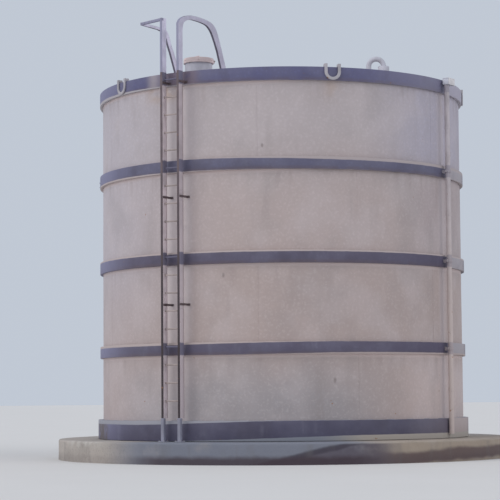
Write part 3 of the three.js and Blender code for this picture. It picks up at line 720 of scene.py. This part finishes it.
# Dark paint on the stringer flanges, darker towards the ground, partly painted shade for the shaded side of
# the channel
ladder_edge_finish = aged_paint(
    "stringer_flange", (0.14, 0.105, 0.115), 0.4, (0.07, 0.045, 0.045), 0.55, low=(0.032, 0.021, 0.026))
rung_finish = aged_paint("rung", (0.4, 0.33, 0.31), 0.4, (0.26, 0.2, 0.18), 0.6, 2.0, banded=0.95)
foot_finish = aged_paint("foot_paint", (0.28, 0.28, 0.35), 0.25, (0.2, 0.18, 0.19), 0.45)
bracket_finish = aged_paint("bracket_rust", (0.12, 0.085, 0.09), 0.3, (0.07, 0.05, 0.055), 0.6, 2.0)
hatch_finish = aged_paint("hatch_paint", (0.64, 0.525, 0.52), 0.3, (0.42, 0.3, 0.26), 0.55)
pale_finish = aged_paint("pale_paint", (0.5, 0.495, 0.555), 0.2, (0.36, 0.33, 0.33), 0.5)
lug_finish = aged_paint("lug_paint", (0.42, 0.395, 0.42), 0.3, (0.33, 0.28, 0.26), 0.5)
hopper_finish = aged_paint("hopper_paint", (0.53, 0.535, 0.6), 0.2, (0.3, 0.27, 0.26), 0.5)
# Painted highlight: the hopper's front face takes a brighter copy of its paint, as if lit
hopper_front_lit_finish = aged_paint("hopper_front_painted_highlight", (0.72, 0.69, 0.7), 0.2, (0.5, 0.46, 0.44), 0.5)
pipe_finish = aged_paint(
    "pipe_paint", (0.48, 0.43, 0.45), 0.4, (0.33, 0.27, 0.25), 0.5, low=(0.56, 0.465, 0.43), banded=0.4)
bolt_finish = bare_steel()
screen_finish = aged_paint("vent_screen", (0.12, 0.115, 0.11), 0.4, (0.05, 0.05, 0.05), 0.5, 3.0)


# Pieces
def plinth():
    """The slab, worn all round and chipped along its rounded edge."""
    piece = Piece("plinth_cast", "concrete", ["plinth"], concrete_finish)
    limit = PLINTH_RADIUS - 0.001
    edge = 0.03
    core = 0.2

    def worn(azimuth, radius, height):
        if radius < 1:
            return radius, height
        place = polar(radius, azimuth, height) * 1.3
        uneven = 0.006 * noise.noise(place) + 0.004 * noise.noise(place * 4)
        chip = max(0.0, noise.noise(place * 3.1 + Vector((7, 1, 4))) - 0.42) * 0.06
        if PLINTH_HEIGHT - 0.09 < height < PLINTH_HEIGHT - 0.001 and radius > limit - 0.06:
            uneven -= chip
        return min(radius + uneven - 0.008, limit), height

    profile = [(core, 0.0)]
    profile += [(limit, height) for height in (0.0, 0.06, 0.13, 0.2, 0.27, 0.33, PLINTH_HEIGHT - edge)]
    profile += [(limit - edge + edge * c, PLINTH_HEIGHT - edge + edge * s) for c, s in circle(16)[1:5]]
    profile += [(radius, PLINTH_HEIGHT) for radius in (4.2, 3.7, core)]
    piece.lathe(profile, 360, wobble=worn)
    piece.rod((0, 0, 0), (0, 0, PLINTH_HEIGHT), core, 64)
    piece.done()


def shell():
    """The round wall, with plates that are not quite even, and its welds."""
    nodes = [f"wall_panel_{i}" for i in range(1, 9)]
    piece = Piece("shell_wall", "shell_paint", nodes, wall_finish)
    rows = 42
    heights = [WALL_BASE + (WALL_TOP - WALL_BASE) * k / rows for k in range(rows + 1)]
    outer = [(TANK_RADIUS, height) for height in heights]
    inner = [(TANK_RADIUS - WALL_THICKNESS, height) for height in reversed(heights)]

    def uneven(azimuth, radius, height):
        place = polar(radius, azimuth, height)
        wave = noise.noise(place * 0.8) + 0.4 * noise.noise(place * 2.1)
        return radius - WALL_WAVE * (1 + max(-1.0, min(1.0, wave))), height

    piece.lathe(outer + inner, RING_SEGMENTS, wobble=uneven)

    # Each course between two bands is welded up from plates, staggered from the one below
    face = TANK_RADIUS - WALL_WAVE
    courses = [WALL_BASE, *HOOP_CENTRES.values(), WALL_TOP]
    for k, (low, high) in enumerate(zip(courses, courses[1:])):
        heights = [low + (high - low) * j / 60 for j in range(61)]
        for i in range(6):
            azimuth = 22 + 60 * i + 30 * (k % 2)
            piece.bead([polar(face, azimuth, height) for height in heights], *PLATE_WELD)
        if k:
            piece.bead([polar(face, 2 * j, low) for j in range(181)], *COURSE_WELD)
    piece.done()


def band(name, low, high, proud, splices):
    """Channel rolled round the tank, with its flanges against the wall."""
    piece = Piece(name + "_rolled", "band_paint", [name], band_finish)
    outer = BAND_INNER + proud
    web = outer - BAND_PLATE
    profile = rounded([
        (BAND_INNER, low), (outer, low), (outer, high), (BAND_INNER, high),
        (BAND_INNER, high - BAND_PLATE), (web, high - BAND_PLATE),
        (web, low + BAND_PLATE), (BAND_INNER, low + BAND_PLATE),
    ], 0.006)

    def uneven(azimuth, radius, height):
        place = polar(3.7, azimuth, height)
        if radius > web - 0.001:
            radius -= 0.002 * (1 + noise.noise(place * 1.5))
        return radius, height + 0.0025 * noise.noise(place * 0.7)

    piece.lathe(profile, RING_SEGMENTS, wobble=uneven)

    # Butt splices: a plate on the web with two rows of bolts
    middle = (low + high) / 2
    tall = (high - low) / 2 - 0.035
    back, front = outer + SPLICE_BACK, outer + SPLICE_FRONT
    plate = rectangle(back, front, middle - tall, middle + tall, 0.002, 1)
    span = degrees(SPLICE_HALF / outer)
    for azimuth in splices:
        piece.arc(plate, azimuth - span, azimuth + span, 12)
        for across in (-0.11, -0.04, 0.04, 0.11):
            turn = azimuth + degrees(across / outer)
            for height in (middle - 0.55 * tall, middle + 0.55 * tall):
                piece.bolt(polar(front - 0.001, turn, height), polar(1, turn), 0.02)

    # Weld of the top flange to the wall, in short runs
    for i in range(48):
        start = 7.5 * i + 1.5
        path = [polar(BAND_INNER, start + 0.5 * j, high + 0.001) for j in range(6)]
        piece.bead(path, *BAND_WELD)
    piece.done()


def meets(path, axis, reach):
    """Whether a path comes within reach of a fitting's axis."""
    return any((place.xy - axis.xy).length < reach for place in path)


def roof_details(hatch_axis, vent_axis):
    """Lap welds of the roof's plates, and the cap plate with its bolts."""
    piece = Piece("roof_welds", "shell_paint", (), wall_finish, bolt_finish)
    sector = 360 / ROOF_SECTORS
    seams = [sector * (i + 0.5) for i in range(ROOF_SECTORS)]
    radii = [0.34 + 3.26 * j / 50 for j in range(51)]
    for azimuth in seams:
        piece.bead([polar(radius, azimuth, roof_at(radius)) for radius in radii], *ROOF_SEAM, True)
    for radius in (1.5, 2.62):
        for azimuth in seams:
            path = [polar(radius, azimuth + sector * j / 10, roof_at(radius)) for j in range(11)]
            if not meets(path, vent_axis, 0.24) and not meets(path, hatch_axis, 0.42):
                piece.bead(path, *ROOF_LAP, True)
    piece.lathe([(0.02, 7.59), (0.36, 7.565), (0.36, 7.577), (0.3, 7.584), (0.02, 7.603)], 72)
    for i in range(12):
        piece.bolt(polar(0.28, 30 * i, 7.584), (0, 0, 1), 0.022, 1)
    piece.done()


def pad_ring(piece, axis, inner, outer):
    """Reinforcing ring that lies on the roof's slope round a neck."""
    profile = ((inner, -PAD_SINK), (outer, -PAD_SINK), (outer, PAD_THICKNESS), (inner, PAD_THICKNESS))
    rings = []
    for c, s in circle(72):
        places = [(axis + Vector((radius * c, radius * s, 0)), lift) for radius, lift in profile]
        rings.append([(place.x, place.y, roof_at(place.length) + lift) for place, lift in places])
    piece.loft(rings, closed=True)


def hatch_neck(axis):
    """Neck through the roof, with its pad and eight ribs."""
    neck = Piece("hatch_neck_welded", "vent_paint", ["hatch_neck"], pale_finish)
    base = roof_at(HATCH[1]) - 0.09
    neck.lathe(rectangle(HATCH_RADIUS - HATCH_WALL, HATCH_RADIUS, base, HATCH_TOP, 0.002, 1), 96, axis)
    pad_ring(neck, axis, HATCH_RADIUS - 0.001, HATCH_RADIUS + 0.11)
    rib = [(0, 0), (0.085, 0), (0.085, 0.02), (0.012, 0.16), (0, 0.16)]
    for k in range(8):
        out = polar(1, 45 * k + 100)
        half = Vector((-out.y, out.x, 0)) * 0.004
        low = axis + out * (HATCH_RADIUS + 0.005)
        low.z = roof_at((low + out * 0.08).length) - 0.004
        neck.bar(rib, low - half, low + half, out, (0, 0, 1))
    neck.done()


def hatch_lid(axis):
    """Pressed lid over the neck, with its skirt, handle, hinge and dogs."""
    lid = Piece("hatch_lid_pressed", "hatch_paint", ["hatch_lid"], hatch_finish, bolt_finish)
    under = HATCH_TOP + TOUCH_GAP
    outer, skirt = HATCH_LID_RADIUS, HATCH_SKIRT
    profile = (
        (0.012, 0), (0.281, 0), (0.281, -skirt), (0.284, -skirt - 0.001), (outer - 0.003, -skirt - 0.001),
        (outer, 0.003 - skirt), (outer - 0.002, 0.03 - skirt), (outer, -0.012), (outer - 0.003, 0.003),
        (outer - 0.009, 0.008), (outer - 0.018, 0.01), (0.265, 0.0125), (0.21, 0.019), (0.14, 0.0245),
        (0.07, 0.0275), (0.012, 0.028),
    )
    lid.lathe([(radius, under + rise) for radius, rise in profile], 96, axis)
    lid.rod(axis + Vector((0, 0, under + 0.02)), axis + Vector((0, 0, under + 0.0285)), 0.014)

    # Lifting handle on top, hinge at the back and dogs round the skirt
    lid.base = Matrix.Translation(axis) @ turned(HATCH[0])
    top = under + 0.016
    handle = ((-0.09, 0), (-0.09, 0.028), (-0.078, 0.04), (0.078, 0.04), (0.09, 0.028), (0.09, 0))
    lid.tube([(x, -0.05, top + rise) for x, rise in handle], 0.008, 0.001, 12)
    for x in (-0.09, 0.09):
        lid.block((x - 0.02, -0.07, top - 0.006), (x + 0.02, -0.03, top + 0.004))
    for x in (-0.07, 0.07):
        lid.block((x - 0.012, 0.27, under - 0.05), (x + 0.012, 0.35, under + 0.012))
    lid.rod((-0.11, 0.335, under - 0.012), (0.11, 0.335, under - 0.012), 0.011, 16, 0.002, 1)
    for k in range(6):
        out = polar(1, 60 * k + 110)
        lid.bolt(out * (outer - 0.002) + Vector((0, 0, under - 0.045)), out, 0.016)
    lid.done()


def vent_neck(axis):
    """Short neck through the roof, drawn in to the gooseneck's bore at its top."""
    neck = Piece("vent_neck_welded", "vent_paint", ["vent_neck"], pale_finish)
    base = roof_at(VENT[1]) - 0.06
    outer, top = VENT_NECK_RADIUS, VENT_NECK_TOP
    inner, under = outer - 0.006, top - 0.006
    profile = [(inner, base), (outer, base), (outer, top)]
    profile += [(VENT_BORE, top), (VENT_BORE, under), (inner, under)]
    neck.lathe(rounded(profile, 0.0025), 64, axis)
    pad_ring(neck, axis, outer - 0.001, outer + 0.07)
    neck.done()


def vent_gooseneck(axis):
    """Bent tube on its bolted plate, with a lip and a screen at its mouth."""
    tube = Piece("vent_gooseneck", "vent_paint", ["roof_vent"], pale_finish, bolt_finish, screen_finish)
    plate = VENT_NECK_TOP + TOUCH_GAP
    start = axis + Vector((0, 0, plate + 0.009))
    mouth = start + Vector((-2 * VENT_BEND, 0, -VENT_MOUTH))
    bend = [start + Vector((VENT_BEND * (c - 1), 0, VENT_BEND * s + 0.0001)) for c, s in circle(48)[:25]]
    tube.tube([start, *bend, mouth], VENT_TUBE, VENT_BORE)
    tube.lathe(rectangle(VENT_BORE, 0.095, plate, plate + 0.01, 0.002, 1), 48, axis)
    tube.lathe(rectangle(VENT_BORE, VENT_TUBE + 0.007, mouth.z, mouth.z + 0.014, 0.002, 1), 32, mouth)
    for k in range(6):
        tube.bolt(axis + polar(0.075, 60 * k + 30, plate + 0.01), (0, 0, 1), 0.012, 1)
    for k in range(-3, 4):
        offset = 0.0115 * k
        reach = sqrt(VENT_BORE ** 2 - offset ** 2)
        for x0, y0, x1, y1 in ((-reach, offset, reach, offset), (offset, -reach, offset, reach)):
            tube.rod(mouth + Vector((x0, y0, 0.006)), mouth + Vector((x1, y1, 0.006)), 0.0014, 8, 0, 2)
    tube.done()


def face_at(radius, x):
    """Where the front of a round surface stands at x, in the frame of an azimuth."""
    return -sqrt(radius ** 2 - x ** 2)


def channel(piece, outer, inner, web_x, web_tag=0):
    """Rolled channel between two edges, in the ladder's frame. Flanges and ends have tag 1."""
    flange, plate = STRINGER_FLANGE, STRINGER_PLATE
    rings = []
    for near, far in zip(outer, inner):
        depth = (far - near).length
        along = (far - near) / depth
        section = rounded([
            (0, 0, 1), (-flange, 0, 1), (-flange, plate, 1), (-plate, plate, web_tag),
            (-plate, depth - plate, 1), (-flange, depth - plate, 1), (-flange, depth, 1),
            (0, depth, web_tag),
        ], 0.0045)
        rings.append([
            (web_x + u, STRINGER_OUTER + near.x + along.x * v, near.y + along.y * v)
            for u, v, _ in section])
    piece.loft(rings, 1, [tag for _, _, tag in section])


def straight(low, high, steps=1):
    """Outer and inner edge of an upright channel."""
    heights = [low + (high - low) * k / steps for k in range(steps + 1)]
    return [[Vector((depth, height)) for height in heights] for depth in (0, STRINGER_DEPTH)]


def rung(piece, height):
    """Bar through both webs, with a weld round it inside each."""
    left, right = STRINGER_WEBS["left"], STRINGER_WEBS["right"]
    inside = right - STRINGER_PLATE
    y = STRINGER_OUTER + STRINGER_DEPTH / 2
    for start, end, radius, chamfer in (
        (left - STRINGER_PLATE + 0.002, right - 0.002, RUNG_RADIUS, 0.0),
        (left, left + 0.006, RUNG_RADIUS + 0.006, 0.004),
        (inside, inside - 0.006, RUNG_RADIUS + 0.006, 0.004),
    ):
        piece.rod((start, y, height), (end, y, height), radius, 20, chamfer, 2)


def ladder_lengths(base):
    """Three lengths of stringers and rungs, with the splices' bolts in the webs."""
    spans = {
        "ladder_lower": (LADDER_BASE, LADDER_SPLICES[0]),
        "ladder_middle": (LADDER_SPLICES[0] + TOUCH_GAP, LADDER_SPLICES[1]),
        "ladder_upper": (LADDER_SPLICES[1] + TOUCH_GAP, CURB_TOP),
    }
    rung_height = FIRST_RUNG
    for name, (low, high) in spans.items():
        piece = Piece(
            name + "_welded", "ladder_paint", [name],
            ladder_finish, ladder_edge_finish, rung_finish, ladder_left_lit_finish, base=base)
        bolts = []
        if low > LADDER_BASE:
            bolts += [low + 0.05, low + 0.11]
        if high < CURB_TOP:
            bolts.append(high - 0.08)
        # Tag 3 gives the left web its lighter copy of the paint, painted light against its shade
        for side, web_tag in (("left", 3), ("right", 0)):
            web_x = STRINGER_WEBS[side]
            channel(piece, *straight(low, high, 10), web_x, web_tag)
            for height in bolts:
                for inwards in WEB_BOLTS:
                    piece.bolt((web_x, STRINGER_OUTER + inwards, height), (1, 0, 0), 0.014, web_tag)
        while rung_height < high - RUNG_RADIUS:
            rung(piece, rung_height)
            rung_height += RUNG_PITCH
        piece.done()


def ladder_feet(base):
    """Post, base plate with four bolts, and cap plate below each stringer."""
    low, high = PLINTH_HEIGHT + TOUCH_GAP, LADDER_BASE - TOUCH_GAP
    y = STRINGER_OUTER - STRINGER_PLATE
    for side, web_x in STRINGER_WEBS.items():
        x = web_x - STRINGER_FLANGE / 2
        nodes = [f"ladder_foot_{side}"]
        foot = Piece(f"foot_{side}", "ladder_foot_paint", nodes, foot_finish, bolt_finish, base=base)
        foot.block((x - 0.033, y, low + 0.01), (x + 0.033, y + 0.066, high), 0.006)
        foot.block((x - 0.075, y - 0.04, low), (x + 0.075, y + 0.105, low + 0.012), 0.004)
        foot.block((x - 0.038, y - 0.004, high - 0.03), (x + 0.038, y + 0.07, high - 0.022), 0.003)
        for across in (-0.055, 0.055):
            for inwards in (-0.02, 0.085):
                foot.bolt((x + across, y + inwards, low + 0.012), (0, 0, 1), 0.016, 1)
        foot.done()


def ladder_brackets(base):
    """Flat bars from the stringers' webs, each with a plate on the wall or the top curb."""
    for level, (centre, seat) in BRACKETS.items():
        low, high = centre - BRACKET_HEIGHT / 2, centre + BRACKET_HEIGHT / 2
        for side, web_x in STRINGER_WEBS.items():
            node = f"ladder_bracket_{level}_{side}"
            piece = Piece(node + "_bolted", "bracket_rust", [node], bracket_finish, base=base)
            x0 = web_x + TOUCH_GAP
            x1 = x0 + BRACKET_THICKNESS
            face = face_at(seat, x1)
            piece.block((x0, STRINGER_OUTER + STRINGER_PLATE, low), (x1, face + 0.001, high))
            piece.block(
                (x0, face_at(seat, x0) - 0.011, low), (x0 + BRACKET_PLATE_WIDTH, face + 0.001, high))
            for inwards in (0.03, 0.1):
                piece.bolt((x1, STRINGER_OUTER + inwards, centre), (1, 0, 0), 0.013)
            piece.bolt((x0 + 0.034, face - 0.011, centre), (0, -1, 0), 0.012)
            piece.done()


def below_roof(piece):
    """Cuts what reaches below the roof's face off, by a cone larger than the roof."""
    cone = bmesh.new()
    scale = 3
    depth = ROOF_RISE * scale
    top = ROOF_EDGE + ROOF_RISE + TOUCH_GAP
    bmesh.ops.create_cone(
        cone, cap_ends=True, segments=144, radius1=TANK_RADIUS * scale, radius2=0.0, depth=depth,
        matrix=Matrix.Translation((0, 0, top - depth / 2)))
    data = bpy.data.meshes.new("roof_cutter")
    cone.to_mesh(data)
    cone.free()
    cutter = placed("roof_cutter", data)
    cut = piece.modifiers.new("roof_cut", "BOOLEAN")
    cut.operation = "DIFFERENCE"
    cut.solver = "EXACT"
    cut.object = cutter
    bpy.context.view_layer.update()
    graph = bpy.context.evaluated_depsgraph_get()
    result = bpy.data.meshes.new_from_object(piece.evaluated_get(graph), depsgraph=graph)
    piece.modifiers.clear()
    piece.data = result
    bpy.data.objects.remove(cutter)
    bpy.data.meshes.remove(data)


def rail_edge(start, bend, end):
    """Edge of a handrail: a smooth bend between two straight ends."""
    return [Vector((x, RAIL_TOP + y)) for x, y in (start, *smooth_line(bend, 40), end)]


def handrail_right(base):
    """One channel, bent over from the stringer to its foot on the roof."""
    rail = Piece(
        "handrail_right_bent", "ladder_paint", ["handrail_right"],
        rail_finish, rail_edge_finish, base=base)
    foot = CURB_TOP + TOUCH_GAP - RAIL_TOP
    outer = rail_edge((0, foot), RIGHT_RAIL_OUTER, RIGHT_FEET[0])
    inner = rail_edge((STRINGER_DEPTH, foot), RIGHT_RAIL_INNER, RIGHT_FEET[1])
    channel(rail, outer, inner, STRINGER_WEBS["right"])
    below_roof(rail.done())


def handrail_left(base):
    """Upright, bar that drops a little to the left, and a bent leg to its foot on the roof."""
    # The web takes the lighter copy of the rail's paint, painted light against its shade
    rail = Piece(
        "handrail_left_bent", "ladder_paint", ["handrail_left"],
        rail_left_lit_finish, rail_edge_finish, base=base)
    web_x = STRINGER_WEBS["left"]
    leg_x = web_x - LEFT_RAIL_REACH
    top = RAIL_TOP + LEFT_RAIL_RISE
    channel(rail, *straight(CURB_TOP + TOUCH_GAP, top), web_x)
    section = rectangle(0, LEFT_RAIL_BAR, -LEFT_RAIL_BAR, 0, 0.006)
    start = Vector((web_x, STRINGER_OUTER, top))
    end = Vector((leg_x - STRINGER_FLANGE, STRINGER_OUTER, RAIL_TOP + LEFT_RAIL_OUTER[0][1]))
    inwards = Vector((0, 1, 0))
    rail.bar(section, start, end, inwards, inwards.cross((end - start).normalized()), 0.004, 1)
    outer = rail_edge(LEFT_RAIL_OUTER[0], LEFT_RAIL_OUTER[1:], LEFT_FEET[0])
    inner = rail_edge(LEFT_RAIL_INNER[0], LEFT_RAIL_INNER[1:], LEFT_FEET[1])
    channel(rail, outer, inner, leg_x)
    below_roof(rail.done())


def lugs():
    """Five U-shaped eyes on the top curb, whose ends hook over its edge."""
    centre = LUG_LOW + LUG_BAR / 2 + LUG_RADIUS
    path = [Vector((LUG_RADIUS * c, centre - LUG_RADIUS * s)) for c, s in circle(48)[:25]]
    path = [Vector((LUG_RADIUS, LUG_TOP)), *path, Vector((-LUG_RADIUS, LUG_TOP))]
    half = LUG_BAR / 2
    section = rectangle(-half, half, 0, LUG_THICKNESS, 0.008)
    rings = []
    for place, along in zip(path, directions(path)):
        face = face_at(CURB_OUTER, place.x) - TOUCH_GAP
        rings.append([(place.x + along.y * u, face - v, place.y - along.x * u) for u, v in section])
    front = face_at(CURB_OUTER, LUG_RADIUS) - LUG_THICKNESS + 0.002
    for i, azimuth in enumerate(LUG_AZIMUTHS, 1):
        piece = Piece(f"lug_eye_{i}", "lug_paint", [f"lifting_lug_{i}"], lug_finish, base=turned(azimuth))
        piece.loft(rings)
        for x in (-LUG_RADIUS, LUG_RADIUS):
            low = (x - half, front, CURB_TOP + TOUCH_GAP)
            piece.block(low, (x + half, LUG_HOOK - CURB_OUTER, LUG_TOP - 0.001), 0.008)
        piece.done()


def hopper(base):
    """Folded box with a rim, open at its top, and a hole in its bottom over the pipe."""
    box = Piece(
        "hopper_folded", "lug_paint", ["overflow_hopper"], hopper_finish, hopper_front_lit_finish, base=base)
    left, right, front, back = HOPPER_LEFT, HOPPER_RIGHT, HOPPER_FRONT, HOPPER_BACK
    plate = 0.006
    # The front plates, tag 1, take the brighter copy of the paint, a painted highlight on that face
    for low, proud, inside in ((HOPPER_BASE, 0, plate), (HOPPER_TOP - 0.012, 0.004, 0.008)):
        for x0, x1, y0, y1, tag in (
            (left - proud, left + inside, front, back, 0),
            (right - inside, right + proud, front, back, 0),
            (left - proud, right + proud, front - proud, front + inside, 1),
        ):
            box.block((x0, y0, low), (x1, y1, HOPPER_TOP), tag=tag)
    box.block((left, back - plate, HOPPER_BASE), (right, back, HOPPER_TOP))

    # Bottom plate, from the hole over the pipe out to the walls
    hole, edge = [], []
    for c, s in circle(48):
        across = (right if c > 0 else -left) / max(abs(c), 1e-6)
        inwards = (back + PIPE_CENTRE if s > 0 else -front - PIPE_CENTRE) / max(abs(s), 1e-6)
        reach = min(across, inwards) - 0.0015
        hole.append((PIPE_BORE * c, PIPE_BORE * s - PIPE_CENTRE))
        edge.append((reach * c, reach * s - PIPE_CENTRE))
    low, high = HOPPER_BASE, HOPPER_BASE + plate
    lines = ((hole, low), (edge, low), (edge, high), (hole, high))
    box.loft([[(x, y, height) for x, y in line] for line, height in lines], closed=True)
    box.done()


def nozzle(base):
    """Stub between the top curb and the hopper, with a collar on the curb."""
    stub = Piece("nozzle_stub", "band_paint", ["overflow_nozzle"], band_finish, base=base)
    face = face_at(CURB_OUTER, NOZZLE_OFFSET)
    for start, end, outer, inner in (
        (HOPPER_BACK + TOUCH_GAP, face + 0.001, NOZZLE_RADIUS, NOZZLE_RADIUS - 0.006),
        (face - 0.012, face - 0.0005, NOZZLE_RADIUS + 0.012, NOZZLE_RADIUS - 0.001),
    ):
        stub.tube([(NOZZLE_OFFSET, y, NOZZLE_HEIGHT) for y in (start, end)], outer, inner)
    stub.done()


def sleeve(piece, low, high, outer, inner, steps=1):
    """Upright tube on the overflow pipe's axis."""
    heights = [low + (high - low) * k / steps for k in range(steps + 1)]
    piece.tube([(0, -PIPE_CENTRE, height) for height in heights], outer, inner)


def pipe(base):
    """Overflow pipe with its four sockets."""
    piece = Piece("pipe_run", "pipe_paint", ["overflow_pipe"], pipe_finish, base=base)
    sleeve(piece, PIPE_FOOT, HOPPER_BASE - TOUCH_GAP, PIPE_RADIUS, PIPE_BORE, 24)
    for low in PIPE_SOCKETS:
        sleeve(piece, low, low + SOCKET_LENGTH, PIPE_RADIUS + 0.006, PIPE_RADIUS - 0.001)
    piece.done()


def pipe_clips(base):
    """Clamps round the pipe, each on two arms and a plate on its hoop."""
    seat = 0.0006 - CURB_OUTER
    arm_front = PIPE_RADIUS + 0.002 - PIPE_CENTRE
    for level, centre in zip(("lower", "middle", "upper"), HOOP_CENTRES.values()):
        node = f"pipe_clip_{level}"
        clip = Piece(node + "_bolted", "pipe_paint", [node], pipe_finish, bolt_finish, base=base)
        low, high = centre - CLIP_HEIGHT / 2, centre + CLIP_HEIGHT / 2
        sleeve(clip, low, high, PIPE_RADIUS + 0.013, PIPE_RADIUS + TOUCH_GAP)
        for side in (-1, 1):
            arm, ear = 0.02 * side, (PIPE_RADIUS + 0.027) * side
            clip.block((arm - 0.004, arm_front, low), (arm + 0.004, seat, high), 0.0015)
            clip.block((ear - 0.022, -PIPE_CENTRE - 0.008, low), (ear + 0.022, 0.008 - PIPE_CENTRE, high))
            clip.bolt((ear + 0.002 * side, -PIPE_CENTRE - 0.008, centre), (0, -1, 0), 0.012, 1)
        clip.block((-0.05, -CURB_OUTER - 0.008, low - 0.01), (0.05, seat, high + 0.01))
        clip.done()


plinth()
shell()
band("base_band", WALL_BASE, BASE_BAND_TOP, BASE_BAND_PROUD, (-98, 118, 205))
for name, splices in (
    ("lower_hoop", (-104, 124, 200)),
    ("middle_hoop", (-98, 135, 188)),
    ("upper_hoop", (-92, 146, 176)),
    ("top_curb", (-96, 114, 196)),
):
    band(name, *UPPER_BANDS[name], HOOP_PROUD, splices)

hatch_axis = polar(HATCH[1], HATCH[0])
vent_axis = polar(VENT[1], VENT[0])
roof_details(hatch_axis, vent_axis)
hatch_neck(hatch_axis)
hatch_lid(hatch_axis)
vent_neck(vent_axis)
vent_gooseneck(vent_axis)

ladder_base = turned(LADDER_AZIMUTH)
for build in (ladder_lengths, ladder_feet, ladder_brackets, handrail_right, handrail_left):
    build(ladder_base)
lugs()
for build in (hopper, nozzle, pipe, pipe_clips):
    build(turned(PIPE_AZIMUTH))

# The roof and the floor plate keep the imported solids
for node in ("roof", "tank_floor"):
    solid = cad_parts[node]
    solid.data.materials.clear()
    solid.data.materials.append(wall_finish)


# Studio
bpy.ops.mesh.primitive_plane_add(size=400)
floor = bpy.context.object
floor.name = "studio_floor"
floor.data.materials.append(ground())

world = bpy.data.worlds.new("studio")
bpy.context.scene.world = world
world.use_nodes = True
background = next(n for n in world.node_tree.nodes if n.type == "BACKGROUND")
background.inputs["Color"].default_value = (0.53, 0.58, 0.66, 1)
background.inputs["Strength"].default_value = 1.0

# Two broad soft lights, a key from the left front and a weaker fill from the right
for name, azimuth, slope, energy, tint in (
    ("soft_key", -60, 0.78, 1.23, (1.0, 0.965, 0.93)),
    ("soft_fill", 60, 0.55, 0.6, (1.0, 0.975, 0.96)),
):
    sun = bpy.data.lights.new(name, "SUN")
    sun.energy = energy
    sun.angle = radians(50)
    sun.color = tint
    light = placed(name, sun)
    light.rotation_mode = "QUATERNION"
    light.rotation_quaternion = (-polar(1, azimuth, slope)).to_track_quat("-Z", "Y")
bpy.context.scene.view_settings.view_transform = "Standard"

# Camera at the photograph's viewing angle, for an image of 500 by 500
IMAGE_SIZE = 500
FOCAL_PIXELS = 1906
SENSOR_WIDTH = 36
PITCH = 0.0752
ROLL = 0.0074
camera_data = bpy.data.cameras.new("camera")
camera_data.sensor_width = SENSOR_WIDTH
camera_data.lens = SENSOR_WIDTH * FOCAL_PIXELS / IMAGE_SIZE
camera_data.clip_end = 500
camera = placed("camera", camera_data)
camera.matrix_world = (
    Matrix.Translation((-0.648, -38.88, 1.286))
    @ Matrix.Rotation(pi / 2 + PITCH, 4, "X")
    @ Matrix.Rotation(-ROLL, 4, "Z"))
bpy.context.scene.camera = camera

bpy.context.view_layer.update()
